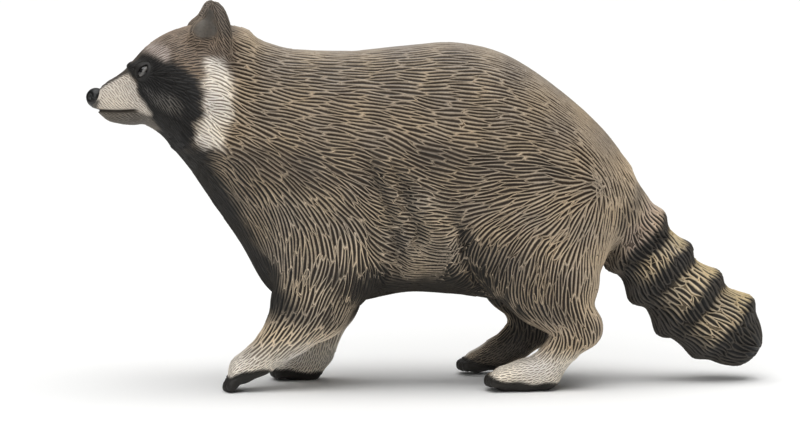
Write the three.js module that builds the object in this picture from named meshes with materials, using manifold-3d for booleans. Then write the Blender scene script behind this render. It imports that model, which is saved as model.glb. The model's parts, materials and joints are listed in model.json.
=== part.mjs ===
// A hand-painted, solid moulded vinyl figure of a walking raccoon.
// Millimetres, +Z up. It faces -X, so its left side is at -Y. The origin is on the floor,
// under the middle of its length.
//
// The whole animal is one field: a number at each point that is negative inside the figure
// and rises outwards by about a millimetre per millimetre. Head and trunk are lofted hulls,
// the limbs and tail are chains of balls, and the masses melt into each other. Each named
// part is the field's surface, trimmed along thin cuts where a person would name a new part.

import * as THREE from "three";
import { mergeVertices } from "three/addons/utils/BufferGeometryUtils.js";
import Module from "manifold-3d";

const wasm = await Module();
wasm.setup();

// ---------------------------------------------------------------- driving sizes

const CUT = 0.2; // clear width of a cut between two parts
const LEFT = -1;
const RIGHT = 1;

const EYE = { x: -31.5, y: 3.05, z: 34.8, radius: 0.75 };
const BROW = { x: -32.1, y: 2.0, z: 35.2 };
const CHEEK = { x: -24.8, y: 5.6, z: 29.85 };
const NOSE = { x: -36.7, z: 31.9, length: 1.08, width: 1.2, height: 1.1 };
const EAR = {
  x: -23.8, y: 4.9, z: 39.5, // middle of the ear's disc
  width: 2.75, thickness: 1.15, height: 3.05, // half sizes
  taper: 0.42, // how much narrower the tip is, as a share
  turn: 0.5, // how far the bowl looks out from straight ahead, in radians
  lean: 0.22, // how far the tip leans outwards, in radians
};
const EAR_FOOT = { x: -25.2, y: 4.3, z: 38.8 }; // the fur that climbs to the ear's front edge

// Sections across the trunk and neck: the top and bottom line, the height of the widest
// place, and the half width there.
const TRUNK = [
  { x: -28.0, top: 36.35, bottom: 26.55, mid: 31.05, half: 4.6 },
  { x: -26.6, top: 37.45, bottom: 24.45, mid: 30.45, half: 5.4 },
  { x: -24.0, top: 38.4, bottom: 20.55, mid: 28.85, half: 6.3 },
  { x: -20.7, top: 38.8, bottom: 15.75, mid: 26.65, half: 7.0 },
  { x: -18.0, top: 37.95, bottom: 11.05, mid: 24.65, half: 7.5 },
  { x: -15.5, top: 37.25, bottom: 9.45, mid: 22.85, half: 8.0 },
  { x: -9.0, top: 36.95, bottom: 9.15, mid: 21.35, half: 8.7 },
  { x: -2.5, top: 37.55, bottom: 10.25, mid: 20.85, half: 9.1 },
  { x: 3.0, top: 37.85, bottom: 9.95, mid: 20.85, half: 9.6 },
  { x: 8.5, top: 36.45, bottom: 9.35, mid: 20.65, half: 9.9 },
  { x: 14.4, top: 32.65, bottom: 10.45, mid: 20.15, half: 9.2 },
  { x: 19.1, top: 28.45, bottom: 13.65, mid: 19.65, half: 7.2 },
  { x: 22.4, top: 24.25, bottom: 15.45, mid: 19.05, half: 5.0 },
];

const HEAD = [
  { x: -37.1, top: 32.25, bottom: 30.75, mid: 31.35, half: 0.9 },
  { x: -36.3, top: 32.95, bottom: 30.05, mid: 31.25, half: 1.5 },
  { x: -35.3, top: 33.75, bottom: 29.35, mid: 31.05, half: 2.0 },
  { x: -34.3, top: 34.35, bottom: 29.1, mid: 30.95, half: 2.4 },
  { x: -33.5, top: 34.95, bottom: 28.95, mid: 30.95, half: 2.8 },
  { x: -32.5, top: 36.05, bottom: 28.9, mid: 31.15, half: 3.5 },
  { x: -31.4, top: 37.25, bottom: 28.95, mid: 31.45, half: 4.3 },
  { x: -29.6, top: 38.6, bottom: 27.9, mid: 31.2, half: 5.9 },
  { x: -27.4, top: 39.55, bottom: 26.2, mid: 30.6, half: 7.2 },
  { x: -24.8, top: 39.95, bottom: 24.75, mid: 30.2, half: 7.8 },
  { x: -22.4, top: 39.75, bottom: 24.45, mid: 30.2, half: 7.4 },
  { x: -20.2, top: 38.85, bottom: 25.25, mid: 30.6, half: 5.9 },
];

// Balls along a limb: the middle, the radius seen from the side and the radius across.
// The figure walks: its left forepaw reaches ahead of the right, and pushes off its toes.
const FORELEG = {
  [LEFT]: [
    { x: -11.0, y: 4.0, z: 21.35, r: 7.2, across: 4.6 },
    { x: -11.6, y: 4.8, z: 14.35, r: 6.0, across: 4.0 },
    { x: -13.4, y: 5.1, z: 9.75, r: 4.5, across: 3.3 },
    { x: -15.6, y: 5.1, z: 6.85, r: 2.9, across: 2.7 },
    { x: -17.2, y: 5.1, z: 5.2, r: 2.15, across: 2.2 },
    { x: -19.15, y: 5.1, z: 3.5, r: 1.75, across: 2.05 },
    { x: -20.95, y: 5.1, z: 2.4, r: 1.6, across: 2.1 },
  ],
  [RIGHT]: [
    { x: -11.0, y: 4.0, z: 21.35, r: 7.2, across: 4.6 },
    { x: -11.4, y: 4.7, z: 14.35, r: 6.0, across: 4.0 },
    { x: -11.5, y: 5.0, z: 9.15, r: 4.3, across: 3.3 },
    { x: -11.9, y: 5.0, z: 6.05, r: 2.8, across: 2.6 },
    { x: -12.4, y: 5.0, z: 3.25, r: 2.2, across: 2.1 },
    { x: -13.2, y: 5.0, z: 1.5, r: 1.75, across: 2.0 },
    { x: -14.6, y: 5.0, z: 1.3, r: 1.4, across: 2.1 },
  ],
};

const HINDLEG = {
  [LEFT]: [
    { x: 11.6, y: 4.4, z: 21.45, r: 8.3, across: 5.6 },
    { x: 11.2, y: 5.6, z: 16.65, r: 8.1, across: 4.6 },
    { x: 12.6, y: 6.8, z: 12.15, r: 5.5, across: 3.9 },
    { x: 13.7, y: 7.3, z: 9.3, r: 3.3, across: 3.1 },
    { x: 15.75, y: 7.6, z: 6.9, r: 2.5, across: 2.5 },
    { x: 13.9, y: 7.7, z: 4.7, r: 1.7, across: 2.1 },
    { x: 11.7, y: 7.8, z: 2.05, r: 1.95, across: 2.05 },
    { x: 9.6, y: 7.8, z: 1.6, r: 1.75, across: 2.1 },
    { x: 7.6, y: 7.8, z: 1.35, r: 1.45, across: 2.2 },
  ],
  [RIGHT]: [
    { x: 11.6, y: 4.4, z: 21.45, r: 8.3, across: 5.6 },
    { x: 11.2, y: 5.6, z: 16.65, r: 8.0, across: 4.6 },
    { x: 11.8, y: 6.8, z: 11.85, r: 5.4, across: 3.9 },
    { x: 12.9, y: 7.3, z: 8.25, r: 3.5, across: 3.1 },
    { x: 12.7, y: 7.6, z: 5.45, r: 2.5, across: 2.4 },
    { x: 11.0, y: 7.8, z: 3.75, r: 2.0, across: 2.0 },
    { x: 8.8, y: 7.9, z: 2.3, r: 1.75, across: 2.0 },
    { x: 6.4, y: 7.9, z: 1.45, r: 1.3, across: 2.2 },
  ],
};

const TAIL = [
  { x: 19.6, y: 0, z: 20.2, r: 4.3, across: 4.8 },
  { x: 22.3, y: 0, z: 16.95, r: 3.95, across: 4.1 },
  { x: 23.95, y: 0, z: 14.75, r: 4.1, across: 4.15 },
  { x: 26.25, y: 0, z: 11.85, r: 4.2, across: 4.4 },
  { x: 29.6, y: 0, z: 8.3, r: 4.5, across: 4.5 },
  { x: 33.25, y: 0, z: 5.85, r: 4.35, across: 4.35 },
];
const TAIL_RINGS = { first: 5.5, pitch: 4.65, swell: 0.4, skew: 0.45 }; // pads between the ring grooves

// The five toes of a paw fan out from its ball.
const TOES = { count: 5, spread: 1.5, radius: 0.64, reach: 1.4 };
const PAW = {
  forepaw: {
    [LEFT]: { x: -21.65, y: 5.1, z: 1.5, dive: 0.8 },
    [RIGHT]: { x: -15.4, y: 5.0, z: 1.05, dive: 0.15 },
  },
  hindfoot: {
    [LEFT]: { x: 7.15, y: 7.8, z: 1.3, dive: 0.15 },
    [RIGHT]: { x: 6.0, y: 7.9, z: 1.2, dive: 0.12 },
  },
};

// ---------------------------------------------------------------- field building blocks

const ease = (t) => t * t * (3 - 2 * t);
const mix = (a, b, t) => a + (b - a) * t;

// Two fields joined, with a fillet about `width` wide between them.
function melt(a, b, width) {
  const h = Math.max(width - Math.abs(a - b), 0) / width;
  return Math.min(a, b) - (h * h * width) / 4;
}

// Field `a` with `b` taken away, with a softened edge.
const scoop = (a, b, width) => -melt(-a, b, width);

// A smooth value between the stations of a hull, on a Catmull-Rom curve.
function along(stations, key, x) {
  const last = stations.length - 1;
  let i = 0;
  while (i < last - 1 && x > stations[i + 1].x) i++;
  const [a, b] = [stations[i], stations[i + 1]];
  const before = stations[Math.max(i - 1, 0)];
  const after = stations[Math.min(i + 2, last)];
  const span = b.x - a.x;
  const t = Math.min(Math.max((x - a.x) / span, 0), 1);
  const slopeA = ((b[key] - before[key]) / (b.x - before.x)) * span;
  const slopeB = ((after[key] - a[key]) / (after.x - a.x)) * span;
  const [t2, t3] = [t * t, t * t * t];
  return (2 * t3 - 3 * t2 + 1) * a[key] + (t3 - 2 * t2 + t) * slopeA
    + (3 * t2 - 2 * t3) * b[key] + (t3 - t2) * slopeB;
}

// A loft of egg-shaped sections across X.
function hull(stations, p) {
  const x = Math.min(Math.max(p.x, stations[0].x), stations[stations.length - 1].x);
  const mid = along(stations, "mid", x);
  const rise = p.z - mid;
  const tall = rise > 0 ? along(stations, "top", x) - mid : mid - along(stations, "bottom", x);
  const wide = along(stations, "half", x);
  const share = Math.max(Math.hypot(p.y / wide, rise / tall), 1e-3);
  const inSection = Math.max(Math.hypot(p.y, rise), 1e-3) * (1 - 1 / share);
  const past = Math.abs(p.x - x);
  return past > 0 ? Math.hypot(Math.max(inSection, 0), past) : inSection;
}

// A chain of flattened balls, with straight skin between each two.
function chain(balls, side, p) {
  let nearest = Infinity;
  for (let i = 0; i + 1 < balls.length; i++) {
    const [a, b] = [balls[i], balls[i + 1]];
    const run = { x: b.x - a.x, y: side * (b.y - a.y), z: b.z - a.z };
    const from = { x: p.x - a.x, y: p.y - side * a.y, z: p.z - a.z };
    const length2 = run.x ** 2 + run.y ** 2 + run.z ** 2;
    const dot = run.x * from.x + run.y * from.y + run.z * from.z;
    const t = Math.min(Math.max(dot / length2, 0), 1);
    const off = { x: from.x - t * run.x, y: from.y - t * run.y, z: from.z - t * run.z };
    const flat = Math.hypot(off.x, off.z) / mix(a.r, b.r, t);
    const share = Math.max(Math.hypot(flat, off.y / mix(a.across, b.across, t)), 1e-3);
    const d = Math.max(Math.hypot(off.x, off.y, off.z), 1e-3) * (1 - 1 / share);
    nearest = i ? melt(nearest, d, 0.6) : d;
  }
  return nearest;
}

// An ellipsoid with half sizes `half`.
function egg(p, middle, half) {
  const q = [p.x - middle.x, p.y - middle.y, p.z - middle.z];
  const share = Math.max(Math.hypot(q[0] / half.x, q[1] / half.y, q[2] / half.z), 1e-3);
  return Math.max(Math.hypot(...q), 1e-3) * (1 - 1 / share);
}

// ---------------------------------------------------------------- the animal's masses

const at = (spot, side) => ({ x: spot.x, y: side * spot.y, z: spot.z });

// From the ear's own axes to the figure's: X along its width, Y through its bowl, Z up.
const earAxes = (side) => new THREE.Matrix4()
  .makeRotationX(-side * EAR.lean)
  .multiply(new THREE.Matrix4().makeRotationZ(Math.PI / 2 - side * EAR.turn));
const TO_EAR = { [LEFT]: earAxes(LEFT).invert(), [RIGHT]: earAxes(RIGHT).invert() };

function ear(side, p) {
  const q = new THREE.Vector3(p.x - EAR.x, p.y - side * EAR.y, p.z - EAR.z);
  q.applyMatrix4(TO_EAR[side]);
  q.x /= 1 - EAR.taper * Math.min(Math.max(q.z / EAR.height, -1), 1);
  const disc = egg(q, { x: 0, y: 0, z: 0 }, { x: EAR.width, y: EAR.thickness, z: EAR.height });
  const middle = { x: 0, y: EAR.thickness * 1.1, z: 0.25 };
  const half = { x: EAR.width * 0.66, y: EAR.thickness * 0.95, z: EAR.height * 0.72 };
  return scoop(disc, egg(q, middle, half), 0.35);
}

function head(p) {
  let d = hull(HEAD, p);
  for (const side of [LEFT, RIGHT]) {
    d = melt(d, egg(p, at(BROW, side), { x: 1.2, y: 1.0, z: 0.7 }), 0.8);
    d = melt(d, egg(p, at(CHEEK, side), { x: 3.2, y: 2.8, z: 4.2 }), 2.0);
    d = scoop(d, egg(p, at(EYE, side), { x: 1.05, y: 0.9, z: 0.95 }), 0.5);
    d = melt(d, ear(side, p), 1.8);
    d = melt(d, egg(p, at(EAR_FOOT, side), { x: 1.45, y: 1.25, z: 1.8 }), 1.0);
  }
  return d;
}

// One toe's two balls: its knuckle and its tip.
function toe(paw, i) {
  const fan = (i / (TOES.count - 1)) * 2 - 1;
  const reach = TOES.reach * (1 - 0.32 * fan * fan);
  const y = paw.y + fan * TOES.spread;
  const tip = { x: paw.x - reach * Math.cos(paw.dive), z: paw.z - reach * Math.sin(paw.dive) };
  return [
    { x: paw.x, y, z: paw.z + 0.1, r: TOES.radius * 1.15, across: TOES.radius },
    { ...tip, y: y + fan * 0.35, r: TOES.radius, across: TOES.radius * 0.8 },
  ];
}

function paw(kind, side, p) {
  let d = Infinity;
  for (let i = 0; i < TOES.count; i++) d = melt(d, chain(toe(PAW[kind][side], i), side, p), 0.35);
  return d;
}

function tail(p) {
  const [root, tip] = [TAIL[1], TAIL[TAIL.length - 1]];
  const run = new THREE.Vector3(tip.x - root.x, 0, tip.z - root.z).normalize();
  const s = (p.x - root.x) * run.x + (p.z - root.z) * run.z;
  const phase = (2 * Math.PI * (s - TAIL_RINGS.first)) / TAIL_RINGS.pitch;
  const wave = Math.cos(phase - TAIL_RINGS.skew * (1 + Math.cos(phase)));
  const grown = ease(Math.min(Math.max((s + 1.3) / 1.8, 0), 1));
  return chain(TAIL, 1, p) - TAIL_RINGS.swell * wave * grown;
}

// The whole figure, standing on small flats at the floor.
function figure(p) {
  let d = melt(hull(TRUNK, p), head(p), 2.2);
  d = melt(d, tail(p), 1.4);
  for (const side of [LEFT, RIGHT]) {
    const fore = melt(chain(FORELEG[side], side, p), paw("forepaw", side, p), 0.7);
    const hind = melt(chain(HINDLEG[side], side, p), paw("hindfoot", side, p), 0.7);
    d = melt(d, fore, 1.6);
    d = melt(d, hind, 1.6);
  }
  return Math.max(d, -p.z);
}

// ---------------------------------------------------------------- from field to solid

const AXES = ["x", "y", "z"];

// The point where the field is nil, near a point on its surface.
function settle(p, reach) {
  const step = 0.02;
  for (let round = 0; round < 3; round++) {
    const d = figure(p);
    if (Math.abs(d) > reach) return;
    const slope = AXES.map((a) => (figure({ ...p, [a]: p[a] + step }) - d) / step);
    const length2 = slope.reduce((sum, s) => sum + s * s, 0);
    AXES.forEach((a, i) => (p[a] -= (d * slope[i]) / Math.max(length2, 0.25)));
  }
}

// The sheets of surface that pass through a grid cell, as groups of the cell's edges. An
// edge is three times its lower corner plus its axis. `inside` tells of the eight corners.
function sheetsIn(inside) {
  const group = new Map();
  const edgeOf = (a, b) => Math.min(a, b) * 3 + Math.log2(a ^ b);
  for (let face = 0; face < 6; face++) {
    const [axis, base] = [face >> 1, (face & 1) << (face >> 1)];
    const [u, v] = [1 << (axis + 1) % 3, 1 << (axis + 2) % 3];
    const ring = [base, base | u, base | u | v, base | v];
    for (let n = 0; n < 4; n++) {
      if (inside[ring[n]] || !inside[ring[(n + 1) % 4]]) continue;
      let m = n + 1;
      while (inside[ring[(m + 1) % 4]]) m++;
      const enter = edgeOf(ring[n], ring[(n + 1) % 4]);
      const leave = edgeOf(ring[m % 4], ring[(m + 1) % 4]);
      const joined = new Set([...(group.get(enter) ?? [enter]), ...(group.get(leave) ?? [leave])]);
      joined.forEach((edge) => group.set(edge, joined));
    }
  }
  return new Set(group.values());
}

// The figure's surface inside a box, as one closed mesh of about `cell` sized quads.
function surface(box, cell) {
  const count = AXES.map((a) => Math.ceil((box.max[a] - box.min[a]) / cell) + 1);
  const place = (i, a) => box.min[AXES[a]] + i * cell;
  const key = (i, j, k) => (i * count[1] + j) * count[2] + k;
  const value = new Float64Array(count[0] * count[1] * count[2]);
  const isEdge = (n, a) => n === 0 || n === count[a] - 1;
  for (let i = 0; i < count[0]; i++) {
    for (let j = 0; j < count[1]; j++) {
      for (let k = 0; k < count[2]; k++) {
        const open = isEdge(i, 0) || isEdge(j, 1) || isEdge(k, 2);
        const p = { x: place(i, 0), y: place(j, 1), z: place(k, 2) };
        value[key(i, j, k)] = open ? cell : figure(p);
      }
    }
  }

  // One vertex for each sheet in each cell, amid the crossings on the cell's edges.
  const vertexOf = new Map();
  const places = [];
  const corner = (n) => [n & 1, (n >> 1) & 1, (n >> 2) & 1];
  for (let i = 0; i + 1 < count[0]; i++) {
    for (let j = 0; j + 1 < count[1]; j++) {
      for (let k = 0; k + 1 < count[2]; k++) {
        const values = Array.from({ length: 8 }, (_, n) => {
          const [di, dj, dk] = corner(n);
          return value[key(i + di, j + dj, k + dk)];
        });
        for (const sheet of sheetsIn(values.map((v) => v < 0))) {
          const mean = [0, 0, 0];
          for (const edge of sheet) {
            const n = Math.floor(edge / 3);
            const m = n | (1 << edge % 3);
            const t = values[n] / (values[n] - values[m]);
            mean.forEach((_, c) => (mean[c] += mix(corner(n)[c], corner(m)[c], t) / sheet.size));
            vertexOf.set(key(i, j, k) * 24 + edge, places.length);
          }
          const p = { x: place(i + mean[0], 0), y: place(j + mean[1], 1), z: place(k + mean[2], 2) };
          settle(p, cell / 2);
          places.push(p);
        }
      }
    }
  }

  // One quad across each grid edge that the surface crosses, split at its shorter diagonal.
  const index = [];
  const apart = (a, b) => AXES.reduce((s, c) => s + (places[a][c] - places[b][c]) ** 2, 0);
  for (let i = 0; i + 1 < count[0]; i++) {
    for (let j = 0; j + 1 < count[1]; j++) {
      for (let k = 0; k + 1 < count[2]; k++) {
        for (let a = 0; a < 3; a++) {
          const next = [i, j, k];
          next[a]++;
          const inside = value[key(i, j, k)] < 0;
          if (inside === value[key(...next)] < 0) continue;
          const [u, v] = [(a + 1) % 3, (a + 2) % 3];
          const quad = [[0, 0], [1, 0], [1, 1], [0, 1]].map(([du, dv]) => {
            const cellAt = [i, j, k];
            cellAt[u] -= du;
            cellAt[v] -= dv;
            return vertexOf.get(key(...cellAt) * 24 + ((du << u) | (dv << v)) * 3 + a);
          });
          if (!inside) quad.reverse();
          const [q0, q1, q2, q3] = quad;
          if (apart(q0, q2) < apart(q1, q3)) index.push(q0, q1, q2, q0, q2, q3);
          else index.push(q0, q1, q3, q1, q2, q3);
        }
      }
    }
  }
  const geometry = new THREE.BufferGeometry();
  const flat = places.flatMap((p) => [p.x, p.y, p.z]);
  geometry.setAttribute("position", new THREE.Float32BufferAttribute(flat, 3));
  geometry.setIndex(index);
  return geometry;
}

function solid(geometry) {
  geometry.deleteAttribute("normal");
  geometry.deleteAttribute("uv");
  const merged = mergeVertices(geometry, 1e-5);
  return new wasm.Manifold(new wasm.Mesh({
    numProp: 3,
    vertProperties: merged.attributes.position.array,
    triVerts: new Uint32Array(merged.index.array),
  }));
}

function geometryOf(manifold) {
  const mesh = manifold.getMesh();
  const geometry = new THREE.BufferGeometry();
  geometry.setAttribute("position", new THREE.BufferAttribute(mesh.vertProperties, 3));
  geometry.setIndex(new THREE.BufferAttribute(mesh.triVerts, 1));
  geometry.computeVertexNormals();
  return geometry;
}

// ---------------------------------------------------------------- the cuts

const FAR = 120; // larger than the figure

// Everything on the side of a plane that its normal points to. `grow` moves the plane back.
function side(point, normal, grow = 0) {
  const n = new THREE.Vector3(normal.x, normal.y ?? 0, normal.z).normalize();
  const box = new THREE.BoxGeometry(FAR, FAR, FAR).translate(0, 0, FAR / 2 - grow);
  const turn = new THREE.Quaternion().setFromUnitVectors(new THREE.Vector3(0, 0, 1), n);
  box.applyQuaternion(turn).translate(point.x, point.y ?? 0, point.z);
  return solid(box);
}

const NOSE_CUT = { point: { x: -36.5, z: 32.15 }, normal: { x: -0.944, z: 0.331 } };
const HEAD_CUT = { point: { x: -21.3, z: 33 }, normal: { x: -0.97, z: 0.18 } };
const NECK_CUT = { point: { x: -16.6, z: 28 }, normal: { x: -0.97, z: 0.26 } };
const TAIL_CUT = { point: { x: 22.6, z: 18 }, normal: { x: 0.8, z: -0.6 } };
const WRIST_CUT = {
  [LEFT]: { point: { x: -18.6, z: 4.2 }, normal: { x: -0.75, z: -0.66 } },
  [RIGHT]: { point: { x: -12.4, z: 3.3 }, normal: { x: -0.3, z: -0.95 } },
};
const ANKLE_CUT = {
  [LEFT]: { point: { x: 13.6, z: 3.3 }, normal: { x: -0.75, z: -0.66 } },
  [RIGHT]: { point: { x: 11.6, z: 4.4 }, normal: { x: -0.75, z: -0.66 } },
};
const INNER_PLANE = 2.8; // how far the legs' inner cut is from the middle
const SHOULDER = { x: -11.6, z: 16.4, radius: 6.6 };
const HAUNCH = { x: 10.6, z: 17.6, radius: 8.6 };
const CHEST_LINE = 9.6; // below this height, all that is ahead of the belly is foreleg
const BELOW = -5;

// A leg's own space: a slab beside the middle plane, round at the top and open at the foot.
function legSpace(top, front, sideSign, grow = 0) {
  const r = top.radius + grow;
  const shape = new THREE.Shape();
  shape.moveTo(top.x + r, BELOW);
  shape.lineTo(top.x + r, top.z);
  shape.absarc(top.x, top.z, r, 0, Math.PI, false);
  shape.lineTo(top.x - r, CHEST_LINE + grow);
  shape.lineTo(front - grow, CHEST_LINE + grow);
  shape.lineTo(front - grow, BELOW);
  const depth = FAR / 4;
  const slab = new THREE.ExtrudeGeometry(shape, { depth, bevelEnabled: false, curveSegments: 10 });
  slab.rotateX(Math.PI / 2); // the shape's Y becomes Z, and the slab runs to -Y
  const inner = INNER_PLANE - grow;
  slab.translate(0, sideSign === LEFT ? -inner : inner + depth, 0);
  return solid(slab);
}

const foreSpace = (sideSign, grow) => legSpace(SHOULDER, -26, sideSign, grow);
const hindSpace = (sideSign, grow) => legSpace(HAUNCH, HAUNCH.x - HAUNCH.radius, sideSign, grow);
const cutSide = (cut, grow = 0) => side(cut.point, cut.normal, grow);
const restOf = (cut) => side(
  cut.point,
  { x: -cut.normal.x, z: -cut.normal.z },
  -CUT,
);

// The ear stands out of the head above a plane that leans outwards.
function earSpace(sideSign, grow = 0) {
  const up = side({ x: EAR.x, y: sideSign * EAR.y, z: 39.0 }, { x: 0, y: sideSign * 0.55, z: 0.83 }, grow);
  const box = new THREE.BoxGeometry(7 + grow * 2, 7 + grow * 2, 12);
  return up.intersect(solid(box.translate(EAR.x, sideSign * (EAR.y + 0.5), EAR.z + 2)));
}

const ball = (middle, radius) => solid(
  new THREE.SphereGeometry(radius, 12, 8).rotateX(Math.PI / 2).translate(middle.x, middle.y, middle.z),
);

const noseSpace = (grow = 0) => side(NOSE_CUT.point, NOSE_CUT.normal, grow);

// ---------------------------------------------------------------- the parts

const vinyl = (color, roughness = 0.6) =>
  new THREE.MeshStandardMaterial({ color, roughness, metalness: 0 });
const PAINT = {
  coat: vinyl(0x6f6354),
  head: vinyl(0x4a453e),
  ear: vinyl(0x57514a),
  paw: vinyl(0xb3a897),
  tail: vinyl(0x5a4f43),
  nose: vinyl(0x17171a, 0.3),
  eye: vinyl(0x0c0c0e, 0.1),
};

const raccoon = new THREE.Group();

function add(name, manifold, paint) {
  const mesh = new THREE.Mesh(geometryOf(manifold), paint);
  mesh.name = name;
  raccoon.add(mesh);
}

const boxOf = (x0, x1, y0, y1, z0, z1) => new THREE.Box3(
  new THREE.Vector3(x0, y0, z0),
  new THREE.Vector3(x1, y1, z1),
);
const flesh = (box, cell) => solid(surface(box, cell));
// A box beside the middle plane, on one side of the figure.
const beside = (sideSign, x0, x1, y0, y1, z0, z1) => (sideSign === LEFT
  ? boxOf(x0, x1, -y1, -y0, z0, z1)
  : boxOf(x0, x1, y0, y1, z0, z1));

function addLegs(sideSign, name) {
  const fore = flesh(beside(sideSign, -26, -2, 1, 14, -1.6, 26), 1.7).intersect(foreSpace(sideSign));
  const forepaw = flesh(beside(sideSign, -26, -8, 1, 10, -1, 7), 0.8).intersect(foreSpace(sideSign));
  add(`foreleg_${name}`, fore.intersect(restOf(WRIST_CUT[sideSign])), PAINT.coat);
  add(`forepaw_${name}`, forepaw.intersect(cutSide(WRIST_CUT[sideSign])), PAINT.paw);
  const hind = flesh(beside(sideSign, 0, 24, 1, 15, -1.6, 30), 1.9).intersect(hindSpace(sideSign));
  const foot = flesh(beside(sideSign, 2, 18, 3, 12, -1, 6.8), 0.85).intersect(hindSpace(sideSign));
  add(
    `hindleg_${name}`,
    hind.intersect(restOf(ANKLE_CUT[sideSign])),
    PAINT.coat,
  );
  add(`hindfoot_${name}`, foot.intersect(cutSide(ANKLE_CUT[sideSign])), PAINT.paw);
}

function addHead() {
  let skull = flesh(boxOf(-39, -16, -12, 12, 14, 45), 1.25).intersect(cutSide(HEAD_CUT));
  const earFlesh = flesh(boxOf(-29, -17, -12, 12, 34, 45), 0.74);
  for (const [sideSign, name] of [[LEFT, "left"], [RIGHT, "right"]]) {
    skull = skull.subtract(earSpace(sideSign, CUT)).subtract(ball(at(EYE, sideSign), EYE.radius + CUT));
    add(`ear_${name}`, earFlesh.intersect(earSpace(sideSign)), PAINT.ear);
    add(`eye_${name}`, ball(at(EYE, sideSign), EYE.radius), PAINT.eye);
  }
  add("head", skull.subtract(noseSpace(CUT)), PAINT.head);
  const pad = new THREE.SphereGeometry(1, 16, 11).rotateZ(Math.PI / 2);
  pad.scale(NOSE.length, NOSE.width, NOSE.height).translate(NOSE.x, 0, NOSE.z);
  add("nose", solid(pad).intersect(noseSpace()), PAINT.nose);
}

function addTrunk() {
  const whole = flesh(boxOf(-26, 27, -14, 14, 5, 42), 2.75);
  let trunk = whole.intersect(restOf(NECK_CUT)).intersect(restOf(TAIL_CUT));
  for (const sideSign of [LEFT, RIGHT]) {
    trunk = trunk.subtract(foreSpace(sideSign, CUT)).subtract(hindSpace(sideSign, CUT));
  }
  add("trunk", trunk, PAINT.coat);
  const neck = flesh(boxOf(-27, -10, -12, 12, 8, 43), 2.3);
  add("neck", neck.intersect(cutSide(NECK_CUT)).intersect(restOf(HEAD_CUT)), PAINT.coat);
  const brush = flesh(boxOf(19.2, 40, -8, 8, -2, 27), 1.65);
  add("tail", brush.intersect(cutSide(TAIL_CUT)), PAINT.tail);
}

addHead();
addTrunk();
addLegs(LEFT, "left");
addLegs(RIGHT, "right");

export default raccoon;
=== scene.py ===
"""Look model of a hand-painted, solid moulded vinyl figure of a walking raccoon.

The figure faces -X with its left side at -Y, standing on z = 0. Sizes are millimetres in
the dataclasses and metres in the meshes. The form is one distance field. It gives a single
skin mesh, and the sculpted fur is a coat of shallow scoops laid over that skin, with a ridge
of vinyl left standing between each two.
"""

import json
import logging
import math
from dataclasses import astuple, dataclass, fields
from enum import Enum
from functools import partial
from itertools import product
from typing import Callable, Sequence

import bmesh
import bpy
import numpy as np
from mathutils import Matrix, Vector
from mathutils.kdtree import KDTree

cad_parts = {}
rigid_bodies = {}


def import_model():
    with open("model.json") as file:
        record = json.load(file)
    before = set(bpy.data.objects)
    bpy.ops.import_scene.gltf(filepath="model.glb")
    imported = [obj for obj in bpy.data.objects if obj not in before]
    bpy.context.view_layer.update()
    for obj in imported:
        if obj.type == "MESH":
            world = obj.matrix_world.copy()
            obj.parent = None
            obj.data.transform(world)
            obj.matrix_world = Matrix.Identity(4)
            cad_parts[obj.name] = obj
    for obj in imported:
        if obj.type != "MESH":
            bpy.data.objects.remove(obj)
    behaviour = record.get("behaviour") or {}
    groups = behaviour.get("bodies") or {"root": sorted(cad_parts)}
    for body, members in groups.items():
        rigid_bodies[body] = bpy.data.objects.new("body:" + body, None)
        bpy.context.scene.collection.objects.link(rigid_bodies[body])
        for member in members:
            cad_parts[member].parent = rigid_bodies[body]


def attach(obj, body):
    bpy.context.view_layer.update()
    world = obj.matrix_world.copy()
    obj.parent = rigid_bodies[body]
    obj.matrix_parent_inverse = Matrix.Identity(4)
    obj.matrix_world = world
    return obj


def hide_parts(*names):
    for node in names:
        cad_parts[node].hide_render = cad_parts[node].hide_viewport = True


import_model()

logging.basicConfig(level=logging.INFO, format="%(message)s")
log = logging.getLogger("raccoon")

MM = 0.001
# Points, normals and directions are n by 3, and points are in mm where nothing else is said.
Array = np.ndarray
Spot = tuple[float, float, float]
Material, Mesh, Object = bpy.types.Material, bpy.types.Mesh, bpy.types.Object


class Side(Enum):
    """A side of the figure; the value is the sign of Y."""

    LEFT = -1
    RIGHT = 1


# ---- small helpers


def rows_of(kind: type, *rows: tuple[float, ...]) -> tuple:
    """A table of one kind of record, from its bare rows."""
    return tuple(kind(*row) for row in rows)


def read(items: Sequence, name: str, width: int, kind: type = float) -> Array:
    """Reads one property of all the parts of a mesh.

    Args:
        items: The parts, such as the mesh's vertices.
        name: The property.
        width: How many numbers each part has.
        kind: The type of the numbers.

    Returns:
        One row for each part.
    """
    out = np.empty(len(items) * width, dtype=kind)
    items.foreach_get(name, out)
    return out.reshape(-1, width)


def move_vertices(mesh: Mesh, p: Array) -> None:
    """Sets where each vertex of a mesh is."""
    mesh.vertices.foreach_set("co", p.ravel())
    mesh.update()


def add_object(name: str, data: bpy.types.ID) -> Object:
    """Makes an object and links it to the scene.

    Args:
        name: Its name.
        data: Its mesh, light or camera.

    Returns:
        The object.
    """
    item = bpy.data.objects.new(name, data)
    bpy.context.scene.collection.objects.link(item)
    return item


def add_node(
    tree: bpy.types.NodeTree, kind: str, links: dict | None = None, **settings
) -> bpy.types.Node:
    """Adds a node with its settings and links.

    Args:
        tree: The tree it joins.
        kind: The node type.
        links: Input name or number to a constant, a socket or a node's first output.
        **settings: Attributes to set.

    Returns:
        The node.
    """
    made = tree.nodes.new(kind)
    for key, value in settings.items():
        setattr(made, key, value)
    for key, value in (links or {}).items():
        value = value.outputs[0] if isinstance(value, bpy.types.Node) else value
        if isinstance(value, bpy.types.NodeSocket):
            tree.links.new(value, made.inputs[key])
        else:
            made.inputs[key].default_value = value
    return made


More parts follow.
